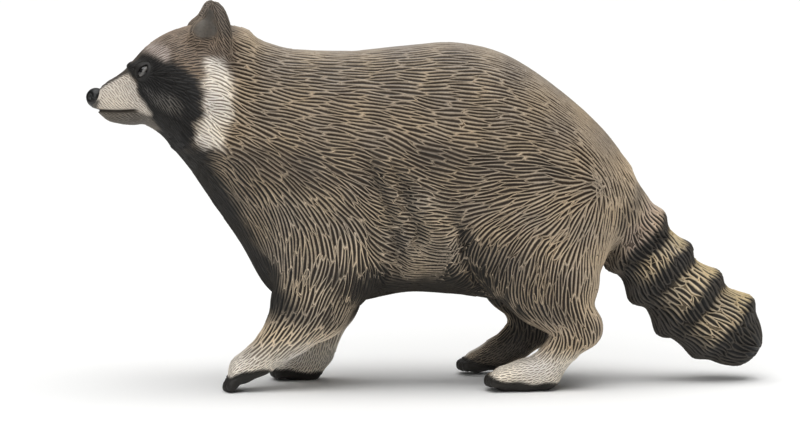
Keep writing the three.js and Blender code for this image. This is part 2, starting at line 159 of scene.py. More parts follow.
def length(v: Array) -> Array:
    """The length of each row."""
    return np.linalg.norm(v, axis=1)


def unit(v: Array, least: float = 1e-9) -> Array:
    """Each row brought to a length of 1."""
    return v / np.maximum(np.linalg.norm(v, axis=1, keepdims=True), least)


def mix(a: Array, b: Array, share: Array) -> Array:
    """The first blended into the second by a share."""
    return a * (1 - share) + b * share


def onto(p: Array, a: Array, b: Array) -> tuple[Array, Array]:
    """The nearest places on the stretch from a to b.

    Args:
        p: Points, one in a row.
        a: Where the stretch begins.
        b: Where it ends.

    Returns:
        How far along each nearest place is, from 0 to 1, and each point's gap from it.
    """
    run = b - a
    t = np.clip((p - a) @ run / (run @ run), 0.0, 1.0)
    return t, p - a - t[:, None] * run


# ---- sizes


@dataclass(frozen=True)
class Station:
    """One upright section of a hull: its place, lines and half width."""

    x: float
    top: float
    bottom: float
    mid: float
    half: float


@dataclass(frozen=True)
class Ball:
    """One ball of a limb: its middle, its radius from the side and its radius across."""

    x: float
    y: float
    z: float
    r: float
    across: float


@dataclass(frozen=True)
class Paw:
    """The ball of a paw, and how steeply its toes dive, in radians."""

    x: float
    y: float
    z: float
    dive: float


TRUNK = rows_of(
    Station, (-28.0, 36.35, 26.55, 31.05, 4.6), (-26.6, 37.45, 24.45, 30.45, 5.4),
    (-24.0, 38.4, 20.55, 28.85, 6.3), (-20.7, 38.8, 15.75, 26.65, 7.0),
    (-18.0, 37.95, 11.05, 24.65, 7.5), (-15.5, 37.25, 9.45, 22.85, 8.0),
    (-9.0, 36.95, 9.15, 21.35, 8.7), (-2.5, 37.55, 10.25, 20.85, 9.1),
    (3.0, 37.85, 9.95, 20.85, 9.6), (8.5, 36.45, 9.35, 20.65, 9.9),
    (14.4, 32.65, 10.45, 20.15, 9.2), (19.1, 28.45, 13.65, 19.65, 7.2),
    (22.4, 24.25, 15.45, 19.05, 5.0),
)
HEAD = rows_of(
    Station, (-37.1, 32.25, 30.75, 31.35, 0.9), (-36.3, 32.95, 30.05, 31.25, 1.5),
    (-35.3, 33.75, 29.35, 31.05, 2.0), (-34.3, 34.35, 29.1, 30.95, 2.4),
    (-33.5, 34.95, 28.95, 30.95, 2.8), (-32.5, 36.05, 28.9, 31.15, 3.5),
    (-31.4, 37.25, 28.95, 31.45, 4.3), (-29.6, 38.6, 27.9, 31.2, 5.9),
    (-27.4, 39.55, 26.2, 30.6, 7.2), (-24.8, 39.95, 24.75, 30.2, 7.8),
    (-22.4, 39.75, 24.45, 30.2, 7.4), (-20.2, 38.85, 25.25, 30.6, 5.9),
)
FORELEG = {
    Side.LEFT: rows_of(
        Ball, (-11.0, 4.0, 21.35, 7.2, 4.6), (-11.6, 4.8, 14.35, 6.0, 4.0),
        (-13.4, 5.1, 9.75, 4.5, 3.3), (-15.6, 5.1, 6.85, 2.9, 2.7), (-17.2, 5.1, 5.2, 2.15, 2.2),
        (-19.15, 5.1, 3.5, 1.75, 2.05), (-20.95, 5.1, 2.4, 1.6, 2.1),
    ),
    Side.RIGHT: rows_of(
        Ball, (-11.0, 4.0, 21.35, 7.2, 4.6), (-11.4, 4.7, 14.35, 6.0, 4.0),
        (-11.5, 5.0, 9.15, 4.3, 3.3), (-11.9, 5.0, 6.05, 2.8, 2.6), (-12.4, 5.0, 3.25, 2.2, 2.1),
        (-13.2, 5.0, 1.5, 1.75, 2.0), (-14.6, 5.0, 1.3, 1.4, 2.1),
    ),
}
HINDLEG = {
    Side.LEFT: rows_of(
        Ball, (11.6, 4.4, 21.45, 8.3, 5.6), (11.2, 5.6, 16.65, 8.1, 4.6),
        (12.6, 6.8, 12.15, 5.5, 3.9), (13.7, 7.3, 9.3, 3.3, 3.1), (15.75, 7.6, 6.9, 2.5, 2.5),
        (13.9, 7.7, 4.7, 1.7, 2.1), (11.7, 7.8, 2.05, 1.95, 2.05), (9.6, 7.8, 1.6, 1.75, 2.1),
        (7.6, 7.8, 1.35, 1.45, 2.2),
    ),
    Side.RIGHT: rows_of(
        Ball, (11.6, 4.4, 21.45, 8.3, 5.6), (11.2, 5.6, 16.65, 8.0, 4.6),
        (11.8, 6.8, 11.85, 5.4, 3.9), (12.9, 7.3, 8.25, 3.5, 3.1), (12.7, 7.6, 5.45, 2.5, 2.4),
        (11.0, 7.8, 3.75, 2.0, 2.0), (8.8, 7.9, 2.3, 1.75, 2.0), (6.4, 7.9, 1.45, 1.3, 2.2),
    ),
}
TAIL = rows_of(
    Ball, (19.6, 0.0, 20.2, 4.3, 4.8), (22.3, 0.0, 16.95, 3.95, 4.1),
    (23.95, 0.0, 14.75, 4.1, 4.15), (26.25, 0.0, 11.85, 4.2, 4.4), (29.6, 0.0, 8.3, 4.5, 4.5),
    (33.25, 0.0, 5.85, 4.35, 4.35),
)
FOREPAW = {Side.LEFT: Paw(-21.65, 5.1, 1.5, 0.8), Side.RIGHT: Paw(-15.4, 5.0, 1.05, 0.15)}
HINDFOOT = {Side.LEFT: Paw(7.15, 7.8, 1.3, 0.15), Side.RIGHT: Paw(6.0, 7.9, 1.2, 0.12)}


@dataclass(frozen=True)
class HeadSizes:
    """Places and half sizes of what is set on the head."""

    eye: Spot = (-31.5, 3.05, 34.8)
    eye_radius: float = 0.75
    brow: Spot = (-32.1, 2.0, 35.2)
    brow_half: Spot = (1.2, 1.0, 0.7)
    cheek: Spot = (-24.8, 5.6, 29.85)
    cheek_half: Spot = (3.2, 2.8, 4.2)
    nose: Spot = (-36.7, 0.0, 31.9)
    nose_half: Spot = (1.08, 1.2, 1.1)
    ear: Spot = (-23.8, 4.9, 39.5)
    ear_half: Spot = (2.75, 1.15, 3.05)
    ear_foot: Spot = (-25.2, 4.3, 38.8)
    ear_foot_half: Spot = (1.45, 1.25, 1.8)
    ear_taper: float = 0.42
    ear_turn: float = 0.5
    ear_lean: float = 0.22
    eye_lean: float = 0.63
    eye_shift: float = 0.12

    def across_eye(self, q: Array) -> Array:
        """How far each point from the eye's middle lies behind the eye's leaning line."""
        c, s = math.cos(self.eye_lean), math.sin(self.eye_lean)
        return q[:, 0] * c - q[:, 2] * s + self.eye_shift


@dataclass(frozen=True)
class Rings:
    """The pads between the tail's ring grooves, measured from its second ball."""

    first: float = 5.5
    pitch: float = 4.65
    swell: float = 0.4
    skew: float = 0.45


@dataclass(frozen=True)
class Toes:
    """The five toes that fan out from a paw's ball."""

    count: int = 5
    spread: float = 1.5
    radius: float = 0.64
    reach: float = 1.4
    rounding: float = 0.32
    splay: float = 0.35


# ---- the form


def ease(t: Array) -> Array:
    """A smooth step from 0 to 1 as t goes from 0 to 1."""
    t = np.clip(t, 0.0, 1.0)
    return t * t * (3.0 - 2.0 * t)


def above(v: Array, edge: float, soft: float) -> Array:
    """A smooth step up, from 0 at an edge to 1 at `soft` beyond it."""
    return ease((v - edge) / soft)


def below(v: Array, edge: float, soft: float) -> Array:
    """A smooth step down, from 1 at `soft` short of an edge to 0 at it."""
    return ease((edge - v) / soft)


def bell(v: Array, width: float) -> Array:
    """A soft hump: 1 where v is nil, and fading over the width."""
    return np.exp(-((v / width) ** 2))


def melt(a: Array, b: Array, width: float) -> Array:
    """Two fields joined, with a fillet about `width` mm wide."""
    h = np.maximum(width - np.abs(a - b), 0.0) / width
    return np.minimum(a, b) - h * h * (width / 4.0)


def scoop(a: Array, b: Array, width: float) -> Array:
    """Field `a` with `b` taken away, and its edge softened by `width` mm."""
    return -melt(-a, b, width)


def shell(gap: Array, share: Array) -> Array:
    """About how far points lie outside an egg, by their gap and share from its middle."""
    return np.maximum(gap, 1e-3) * (1.0 - 1.0 / np.maximum(share, 1e-3))


def egg(p: Array, middle: Sequence[float], half: Sequence[float]) -> Array:
    """The field of an ellipsoid, from its middle and its half sizes."""
    q = p - np.asarray(middle)
    return shell(length(q), length(q / np.asarray(half)))


class Hull:
    """A loft of egg-shaped upright sections along X."""

    def __init__(self, stations: Sequence[Station]) -> None:
        """Args:
            stations: The sections, in order of x.
        """
        self.x = np.array([s.x for s in stations])
        self.lines = {
            name: np.array([getattr(s, name) for s in stations])
            for name in ("top", "bottom", "mid", "half")
        }

    def line(self, name: str, x: Array) -> Array:
        """One of the hull's lines, on a Catmull-Rom curve.

        Args:
            name: Which line.
            x: Where, inside the hull's run.

        Returns:
            The line's value at each x.
        """
        xs, v = self.x, self.lines[name]
        last = len(xs) - 1
        i = np.clip(np.searchsorted(xs, x, side="left") - 1, 0, last - 1)
        before, after = np.maximum(i - 1, 0), np.minimum(i + 2, last)
        span = xs[i + 1] - xs[i]
        t = np.clip((x - xs[i]) / span, 0.0, 1.0)
        slope_a = (v[i + 1] - v[before]) / (xs[i + 1] - xs[before]) * span
        slope_b = (v[after] - v[i]) / (xs[after] - xs[i]) * span
        t2, t3 = t * t, t * t * t
        return (
            (2 * t3 - 3 * t2 + 1) * v[i]
            + (t3 - 2 * t2 + t) * slope_a
            + (3 * t2 - 2 * t3) * v[i + 1]
            + (t3 - t2) * slope_b
        )

    def distance(self, p: Array) -> Array:
        """Args:
            p: Points.

        Returns:
            The hull's field at each.
        """
        x = np.clip(p[:, 0], self.x[0], self.x[-1])
        mid = self.line("mid", x)
        rise = p[:, 2] - mid
        tall = np.where(rise > 0, self.line("top", x) - mid, mid - self.line("bottom", x))
        share = np.hypot(p[:, 1] / self.line("half", x), rise / tall)
        inside = shell(np.hypot(p[:, 1], rise), share)
        past = np.abs(p[:, 0] - x)
        return np.where(past > 0, np.hypot(np.maximum(inside, 0.0), past), inside)


class Limb:
    """A chain of flattened balls with straight skin between each two."""

    REACH = 4.0
    FAR = 9.0

    def __init__(self, balls: Sequence[Ball], side: Side = Side.RIGHT, blend: float = 0.6) -> None:
        """Args:
            balls: The balls, from the root to the tip.
            side: The side it is on.
            blend: The fillet between two stretches, in mm.
        """
        self.middle = np.array([(b.x, side.value * b.y, b.z) for b in balls])
        self.radius = np.array([(b.r, b.across) for b in balls])
        self.blend = blend
        grow = self.radius.max(axis=1)[:, None] + self.REACH
        self.low = (self.middle - grow).min(axis=0)
        self.high = (self.middle + grow).max(axis=0)

    def distance(self, p: Array) -> Array:
        """Args:
            p: Points.

        Returns:
            The limb's field at each, or FAR well away from it.
        """
        out = np.full(len(p), self.FAR)
        near = np.all((p > self.low) & (p < self.high), axis=1)
        q = p[near]
        total = None
        for i in range(len(self.middle) - 1):
            t, off = onto(q, self.middle[i], self.middle[i + 1])
            r = self.radius[i] + (self.radius[i + 1] - self.radius[i]) * t[:, None]
            flat = np.hypot(off[:, 0], off[:, 2]) / r[:, 0]
            d = shell(length(off), np.hypot(flat, off[:, 1] / r[:, 1]))
            total = d if total is None else melt(total, d, self.blend)
        out[near] = total
        return out


class Form:
    """The whole figure as one field, less than nil inside it."""

    def __init__(self) -> None:
        """Builds the masses from the sizes above."""
        self.size = HeadSizes()
        self.rings = Rings()
        self.toes = Toes()
        self.trunk = Hull(TRUNK)
        self.skull = Hull(HEAD)
        self.brush = Limb(TAIL)
        self.forelegs = {s: Limb(FORELEG[s], s) for s in Side}
        self.hindlegs = {s: Limb(HINDLEG[s], s) for s in Side}
        self.forepaws = {s: self.fan(FOREPAW[s], s) for s in Side}
        self.hindfeet = {s: self.fan(HINDFOOT[s], s) for s in Side}
        root, tip = self.brush.middle[1], self.brush.middle[-1]
        self.tail_root = root
        self.tail_run = (tip - root) / np.linalg.norm(tip - root)
        self.to_ear = {s: self.ear_axes(s) for s in Side}

    def fan(self, paw: Paw, side: Side) -> list[Limb]:
        """The toes of a paw.

        Args:
            paw: The paw.
            side: Its side.

        Returns:
            One short limb for each toe.
        """
        out = []
        toes = self.toes
        for i in range(toes.count):
            share = i / (toes.count - 1) * 2 - 1
            reach = toes.reach * (1 - toes.rounding * share * share)
            x, z = paw.x - reach * math.cos(paw.dive), paw.z - reach * math.sin(paw.dive)
            y, r = paw.y + share * toes.spread, toes.radius
            root = Ball(paw.x, y, paw.z + 0.1, r * 1.15, r)
            out.append(Limb((root, Ball(x, y + share * toes.splay, z, r, r * 0.8)), side))
        return out

    def ear_axes(self, side: Side) -> Array:
        """The ear's own axes as rows: along its width, through its bowl and up to its tip.

        Args:
            side: Which ear.

        Returns:
            What turns the figure's axes to the ear's, 3 by 3.
        """
        turn = math.pi / 2 - side.value * self.size.ear_turn
        lean = -side.value * self.size.ear_lean
        c, s = math.cos(turn), math.sin(turn)
        about_z = np.array([[c, -s, 0.0], [s, c, 0.0], [0.0, 0.0, 1.0]])
        c, s = math.cos(lean), math.sin(lean)
        about_x = np.array([[1.0, 0.0, 0.0], [0.0, c, -s], [0.0, s, c]])
        return (about_x @ about_z).T

    def in_ear(self, p: Array, side: Side) -> Array:
        """Points in the ear's own axes, with its taper taken out.

        Args:
            p: Points.
            side: Which ear.

        Returns:
            The same points as the ear sees them.
        """
        size = self.size
        q = (p - at(size.ear, side)) @ self.to_ear[side].T
        q[:, 0] /= 1.0 - size.ear_taper * np.clip(q[:, 2] / size.ear_half[2], -1.0, 1.0)
        return q

    def ear(self, p: Array, side: Side) -> Array:
        """Args:
            p: Points.
            side: Which ear.

        Returns:
            The ear's field at each.
        """
        w, t, h = self.size.ear_half
        q = self.in_ear(p, side)
        bowl = egg(q, (0.0, t * 1.1, 0.25), (w * 0.66, t * 0.95, h * 0.72))
        return scoop(egg(q, (0.0, 0.0, 0.0), (w, t, h)), bowl, 0.35)

    def head(self, p: Array) -> Array:
        """Args:
            p: Points.

        Returns:
            The head's field at each.
        """
        size = self.size
        d = self.skull.distance(p)
        near = np.flatnonzero(p[:, 0] < -15.0)
        q, part = p[near], d[near]
        for side in Side:
            part = melt(part, egg(q, at(size.brow, side), size.brow_half), 0.8)
            part = melt(part, egg(q, at(size.cheek, side), size.cheek_half), 2.0)
            part = scoop(part, egg(q, at(size.eye, side), (1.05, 0.9, 0.95)), 0.5)
            part = melt(part, self.ear(q, side), 1.8)
            part = melt(part, egg(q, at(size.ear_foot, side), size.ear_foot_half), 1.0)
        d[near] = part
        return d

    def down_tail(self, p: Array) -> Array:
        """How far down the tail each point lies, in mm from its second ball."""
        return (p - self.tail_root) @ self.tail_run

    def tail(self, p: Array) -> Array:
        """Args:
            p: Points.

        Returns:
            The ringed tail's field at each.
        """
        s = self.down_tail(p)
        phase = 2 * math.pi * (s - self.rings.first) / self.rings.pitch
        wave = np.cos(phase - self.rings.skew * (1 + np.cos(phase)))
        return self.brush.distance(p) - self.rings.swell * wave * above(s, -1.3, 1.8)

    def legs(self, d: Array, p: Array) -> Array:
        """Args:
            d: The field without the legs.
            p: Points.

        Returns:
            The field with the legs and paws melted on.
        """
        for side in Side:
            for leg, toes in (
                (self.forelegs[side], self.forepaws[side]),
                (self.hindlegs[side], self.hindfeet[side]),
            ):
                paw = toes[0].distance(p)
                for toe in toes[1:]:
                    paw = melt(paw, toe.distance(p), 0.35)
                d = melt(d, melt(leg.distance(p), paw, 0.7), 1.6)
        return d


def at(place: Sequence[float], side: Side) -> Array:
    """A place, given with y measured outwards, on one side."""
    return np.array([place[0], side.value * place[1], place[2]])


def mouth_line(x: Array) -> Array:
    """The height of the line between the lips at each x."""
    return 30.56 + 0.02 * (x + 36.5) - 0.05 * np.cos((x + 34.4) * 1.1)


class Relief:
    """What the skin alone has: lids, lips, mouth, folds and creases, as steps inwards."""

    # How far in mm the slit, its corner and the lower lip step in, and the upper lip swells.
    SLIT, CORNER, LOWER_LIP, UPPER_LIP = 0.42, 0.3, 0.14, 0.16
    # The lids' thickness, and the half width and half length of the opening between them.
    LID, OPEN_ACROSS, OPEN_ALONG = 0.2, 0.34, 0.75

    def __init__(self, form: Form) -> None:
        """Starts from the plain form."""
        self.form = form

    def lids(self, d: Array, p: Array) -> Array:
        """Two lids round each eye, with an almond opening that leans back.

        Args:
            d: The field so far.
            p: Points.

        Returns:
            The field with the lids.
        """
        size = self.form.size
        lean = size.eye_lean
        for side in Side:
            q = p - at(size.eye, side)
            near = np.flatnonzero(length(q) < 3.0)
            q, part = q[near], d[near]
            ball = length(q) - size.eye_radius - self.LID
            part = melt(part, ball, 0.7)
            along = q[:, 0] * math.sin(lean) + q[:, 2] * math.cos(lean)
            opening = self.OPEN_ACROSS * (1.0 - (along / self.OPEN_ALONG) ** 2)
            almond = np.abs(size.across_eye(q) + 0.1) - opening
            slot = np.maximum(almond, 0.2 - side.value * q[:, 1])
            d[near] = scoop(part, slot, 0.22)
        return d

    def mouth(self, p: Array) -> Array:
        """The slit between the lips, and the lower lip set back under the upper one.

        Args:
            p: Points.

        Returns:
            How far the skin steps in, in mm.
        """
        x, z = p[:, 0], p[:, 2]
        line = mouth_line(x)
        fade = below(x, -31.9, 1.1)
        slit = self.SLIT * bell(z - line, 0.16)
        corner = self.CORNER * np.exp(-(((x + 32.35) / 0.35) ** 2 + ((z - 30.66) / 0.28) ** 2))
        lip = self.LOWER_LIP * ease((line - z) / 0.12) * ease((z - line + 1.3) / 1.1)
        pad = -self.UPPER_LIP * np.exp(-(((x + 34.6) / 1.4) ** 2 + ((z - line - 0.75) / 0.6) ** 2))
        return fade * (slit + lip + pad) + corner

    def field(self, p: Array) -> Array:
        """The skin's own field, whose nil surface is the skin.

        Args:
            p: Points.

        Returns:
            The field at each.
        """
        form = self.form
        d = melt(form.trunk.distance(p), form.head(p), 2.2)
        d = melt(d, form.tail(p), 1.4)
        d = form.legs(d, p)
        d = self.lids(d, p)
        cover = coated(p)
        depth = (grain_at(p)[:, 2] + COAT_SPARE) * cover + BARE_DEPTH * (1.0 - cover)
        d = d + depth * ease(p[:, 2] / 1.2 + 0.05) + sum(fold.depth_at(p) for fold in FOLDS)
        face = np.flatnonzero((p[:, 0] < -31.0) & (p[:, 2] < 33.0))
        d[face] += self.mouth(p[face])
        return np.maximum(d, -p[:, 2])


@dataclass(frozen=True)
class Fold:
    """A soft crease on the flank, drawn from the side as a chain of places."""

    path: tuple[tuple[float, float], ...]
    depth: float
    width: float
    # How strongly the crease darkens the paint: partly wash settled in it, partly painted shade.
    lip: float = 0.4
    stain: float = 1.0
    inner: float = 2.0

    def depth_at(self, p: Array) -> Array:
        """Args:
            p: Points.

        Returns:
            The crease's depth at each, in mm.
        """
        flat = p[:, (0, 2)]
        low = np.min(self.path, axis=0) - 4 * self.width
        high = np.max(self.path, axis=0) + 4 * self.width
        near = np.all((flat > low) & (flat < high), axis=1) & (np.abs(p[:, 1]) > self.inner)
        out = np.zeros(len(p))
        q = flat[near]
        best = np.full(len(q), 9.0)
        where = np.zeros(len(q))
        last = len(self.path) - 1
        for i in range(last):
            a, b = np.array(self.path[i]), np.array(self.path[i + 1])
            run = b - a
            t, gap = onto(q, a, b)
            off = length(gap) * np.sign(gap[:, 1] * run[0] - gap[:, 0] * run[1])
            closer = np.abs(off) < np.abs(best)
            best = np.where(closer, off, best)
            where = np.where(closer, (i + t) / last, where)
        ends = ease(where * 4 + 0.1) * ease((1 - where) * 4 + 0.1)
        crease = bell(best, self.width)
        lip = self.lip * bell(best - 2.0 * self.width, 1.3 * self.width)
        out[near] = self.depth * ends * (crease - lip)
        return out


FLANK_FOLD = {"depth": 0.6, "width": 0.75, "lip": 0.2}
THIGH_CREASE = {"depth": 0.45, "width": 0.75, "lip": 0.15, "stain": 0.5}
FOLDS = (
    Fold(
        ((-7.9, 26.3), (-6.9, 23.8), (-5.7, 20.7), (-4.5, 17.3), (-3.9, 14.1), (-3.9, 11.8)),
        **FLANK_FOLD,
    ),
    Fold(((-5.5, 25.1), (-3.9, 22.6), (-3.1, 19.7), (-2.0, 17.3), (-2.0, 15.1)), **FLANK_FOLD),
    Fold(
        ((1.2, 20.5), (1.9, 18.3), (2.5, 16.7), (3.0, 14.8), (3.9, 12.8), (5.6, 11.2), (6.9, 10.1)),
        **THIGH_CREASE,
    ),
)


# ---- the skin


def slope(field: Callable[[Array], Array], p: Array, step: float = 0.03) -> Array:
    """The field's gradient by differences over a tetrahedron.

    Args:
        field: The field.
        p: Points.
        step: The probe's length in mm.

    Returns:
        The gradient at each point.
    """
    probes = np.array([(1, -1, -1), (-1, -1, 1), (-1, 1, -1), (1, 1, 1)], dtype=float)
    total = np.zeros_like(p)
    for k in probes:
        total += k * field(p + k * step)[:, None]
    return total / (4.0 * step)


def settle(field: Callable[[Array], Array], p: Array, rounds: int = 2) -> Array:
    """Moves points onto a field's nil surface by Newton steps.

    Args:
        field: The field.
        p: Points near the surface.
        rounds: How many steps.

    Returns:
        The moved points.
    """
    for _ in range(rounds):
        g = slope(field, p)
        size = np.maximum((g * g).sum(axis=1), 0.05)
        move = (field(p) / size)[:, None] * g
        length = np.linalg.norm(move, axis=1, keepdims=True)
        p = p - move * np.minimum(1.0, 0.35 / np.maximum(length, 1e-9))
    return p


class SkinMesher:
    """Meshes a field's nil surface with one vertex in each cell it crosses."""

    LOW = np.array([-39.3, -12.0, -0.9])
    HIGH = np.array([40.0, 12.0, 44.1])
    CELL = 0.45
    BLOCK = 4

    def __init__(self, field: Callable[[Array], Array]) -> None:
        """Takes the field to mesh."""
        self.field = field

    def sample(self) -> Array:
        """The field on a grid, exact near the surface and coarse away from it.

        Returns:
            The values at the grid's nodes.
        """
        counts = np.ceil((self.HIGH - self.LOW) / (self.CELL * self.BLOCK)).astype(int)
        coarse = [self.LOW[k] + np.arange(counts[k] + 1) * self.CELL * self.BLOCK for k in range(3)]
        nodes = np.stack(np.meshgrid(*coarse, indexing="ij"), axis=-1)
        rough = self.field(nodes.reshape(-1, 3)).reshape(nodes.shape[:3])
        near = np.abs(rough) < self.CELL * self.BLOCK * 1.5
        fine = [self.LOW[k] + np.arange(counts[k] * self.BLOCK + 1) * self.CELL for k in range(3)]
        values = rough
        for axis in range(3):
            values = np.repeat(values, self.BLOCK, axis=axis)
            near = np.repeat(near, self.BLOCK, axis=axis)
        trim = tuple(slice(self.BLOCK // 2, self.BLOCK // 2 + len(fine[k])) for k in range(3))
        values, near = values[trim].copy(), near[trim]
        shifts = [np.roll(near, way, axis) for axis in range(3) for way in (-1, 1)]
        near = np.any([near, *shifts], axis=0)
        index = np.argwhere(near)
        points = np.stack([fine[k][index[:, k]] for k in range(3)], axis=1)
        values[near] = self.field(points)
        return values

    @staticmethod
    def steps(grid: Array, axis: int, rest: slice) -> tuple[Array, Array]:
        """Both ends of every step along one axis of a grid.

        Args:
            grid: The grid.
            axis: Which axis.
            rest: Which part is read along the other axes.

        Returns:
            The lower and the upper ends.
        """
        lower, upper = [rest] * 3, [rest] * 3
        lower[axis], upper[axis] = slice(0, -1), slice(1, None)
        return grid[tuple(lower)], grid[tuple(upper)]

    def mesh(self) -> tuple[Array, Array]:
        """The dual mesh of the sampled field.

        Returns:
            The points, n by 3, and the quads, m by 4.
        """
        values = self.sample()
        inside = values < 0
        shape = np.array(values.shape) - 1
        total = np.zeros((*shape, 3))
        count = np.zeros(tuple(shape))
        for axis in range(3):
            a, b = self.steps(values, axis, slice(None))
            cross = np.argwhere((a < 0) != (b < 0))
            va, vb = a[tuple(cross.T)], b[tuple(cross.T)]
            place = cross.astype(float)
            place[:, axis] += va / (va - vb)
            others = [k for k in range(3) if k != axis]
            for step in product((0, -1), repeat=2):
                cell = cross.copy()
                cell[:, others] += step
                keep = np.all((cell >= 0) & (cell < shape), axis=1)
                np.add.at(total, tuple(cell[keep].T), place[keep])
                np.add.at(count, tuple(cell[keep].T), 1)
        used = count > 0
        number = np.full(tuple(shape), -1)
        number[used] = np.arange(int(used.sum()))
        points = self.LOW + self.CELL * total[used] / count[used][:, None]
        return points, self.quads(inside, number)

    def quads(self, inside: Array, number: Array) -> Array:
        """One quad round each grid edge that crosses the surface.

        Args:
            inside: Which nodes are inside.
            number: Each cell's vertex number, or -1.

        Returns:
            The quads, facing outwards.
        """
        faces = []
        for axis in range(3):
            a, b = self.steps(inside, axis, slice(1, -1))
            edge = np.argwhere(a != b)
            out = a[tuple(edge.T)]
            for k in range(3):
                if k != axis:
                    edge[:, k] += 1
            u, v = (axis + 1) % 3, (axis + 2) % 3
            corners = []
            for step in ((-1, -1), (0, -1), (0, 0), (-1, 0)):
                cell = edge.copy()
                cell[:, (u, v)] += step
                corners.append(number[tuple(cell.T)])
            quad = np.stack(corners, axis=1)
            quad[~out] = quad[~out][:, ::-1]
            faces.append(quad)
        return np.concatenate(faces)


def relax(field: Callable[[Array], Array], mesh: Mesh, rounds: int) -> None:
    """Evens out a mesh's vertices along the surface and sets them back on it.

    Args:
        field: The field whose nil surface the mesh lies on, in mm.
        mesh: The mesh, in mm.
        rounds: How many rounds.
    """
    a, b = read(mesh.edges, "vertices", 2, np.int32).T
    p = read(mesh.vertices, "co", 3)
    share = np.bincount(a, minlength=len(p)) + np.bincount(b, minlength=len(p))
    for _ in range(rounds):
        total = np.zeros_like(p)
        np.add.at(total, a, p[b])
        np.add.at(total, b, p[a])
        move = total / share[:, None] - p
        g = unit(slope(field, p))
        move -= (move * g).sum(axis=1, keepdims=True) * g
        p = settle(field, p + 0.6 * move, 1)
    move_vertices(mesh, settle(field, p, 1))


class Skin:
    """The figure's single skin: meshed evenly, then finer on the head, feet and face."""

    def __init__(self, field: Callable[[Array], Array]) -> None:
        """Takes the field whose nil surface the skin is."""
        self.field = field

    @staticmethod
    def wants_detail(p: Array, level: int) -> Array:
        """Which faces are split at a level.

        Args:
            p: Face middles in mm.
            level: 0 for the head and feet, 1 for the face, 2 for the eyes and mouth.

        Returns:
            A flag for each face.
        """
        x, y, z = p[:, 0], np.abs(p[:, 1]), p[:, 2]
        if level == 0:
            feet = (z < 3.0) & (x < 12.0)
            ears = (z > 37.0) & (x < -20.0)
            return (x < -28.0) | feet | ears
        if level == 1:
            toes = (z < 2.2) & ((x < -18.5) | ((x > 4) & (x < 8)))
            return (x < -30.5) & (z > 28.5) & (z < 36.5) | toes
        mouth = (x < -31.6) & (np.abs(z - 30.5) < 0.6)
        eye = (np.abs(x + 31.5) < 1.4) & (y > 2.2) & (np.abs(z - 34.8) < 1.5)
        return mouth | eye

    def build(self) -> Object:
        """Returns:
            The skin object, in mm.
        """
        points, quads = SkinMesher(self.field).mesh()
        points = settle(self.field, points, 2)
        mesh = bpy.data.meshes.new("skin")
        mesh.from_pydata(points.tolist(), [], quads.tolist())
        relax(self.field, mesh, rounds=4)
        for level in range(3):
            self.refine(mesh, level)
        mesh.shade_smooth()
        skin = add_object("skin", mesh)
        self.unwrap(skin)
        log.info("skin: %d vertices, %d faces", len(mesh.vertices), len(mesh.polygons))
        return skin

    def refine(self, mesh: Mesh, level: int) -> None:
        """Splits the faces that want detail and sets the new vertices on the surface.

        Args:
            mesh: The mesh, in mm.
            level: Which level.
        """
        work = bmesh.new()
        work.from_mesh(mesh)
        work.faces.ensure_lookup_table()
        middles = np.array([f.calc_center_median() for f in work.faces])
        chosen = self.wants_detail(middles, level)
        edges = {e for f, wanted in zip(work.faces, chosen) if wanted for e in f.edges}
        bmesh.ops.subdivide_edges(work, edges=list(edges), cuts=1, use_grid_fill=True)
        bmesh.ops.triangulate(work, faces=[f for f in work.faces if len(f.verts) > 4])
        work.to_mesh(mesh)
        work.free()
        p = read(mesh.vertices, "co", 3)
        near = self.wants_detail(p, level)
        p[near] = settle(self.field, p[near], 2)
        move_vertices(mesh, p)

    @staticmethod
    def unwrap(skin: Object) -> None:
        """Lays the skin out flat in charts that follow its own shape, as the map OFBake.

        Args:
            skin: The skin.
        """
        bpy.context.view_layer.objects.active = skin
        skin.select_set(True)
        skin.data.uv_layers.new(name="OFBake")
        bpy.ops.object.mode_set(mode="EDIT")
        bpy.ops.mesh.select_all(action="SELECT")
        bpy.ops.uv.smart_project(angle_limit=1.15, island_margin=0.003)
        bpy.ops.object.mode_set(mode="OBJECT")
        skin.select_set(False)


# ---- lie of the fur


@dataclass(frozen=True)
class Stroke:
    """One stroke of the sculptor's tool seen from the side: its place and its tilt."""

    x: float
    z: float
    degrees: float


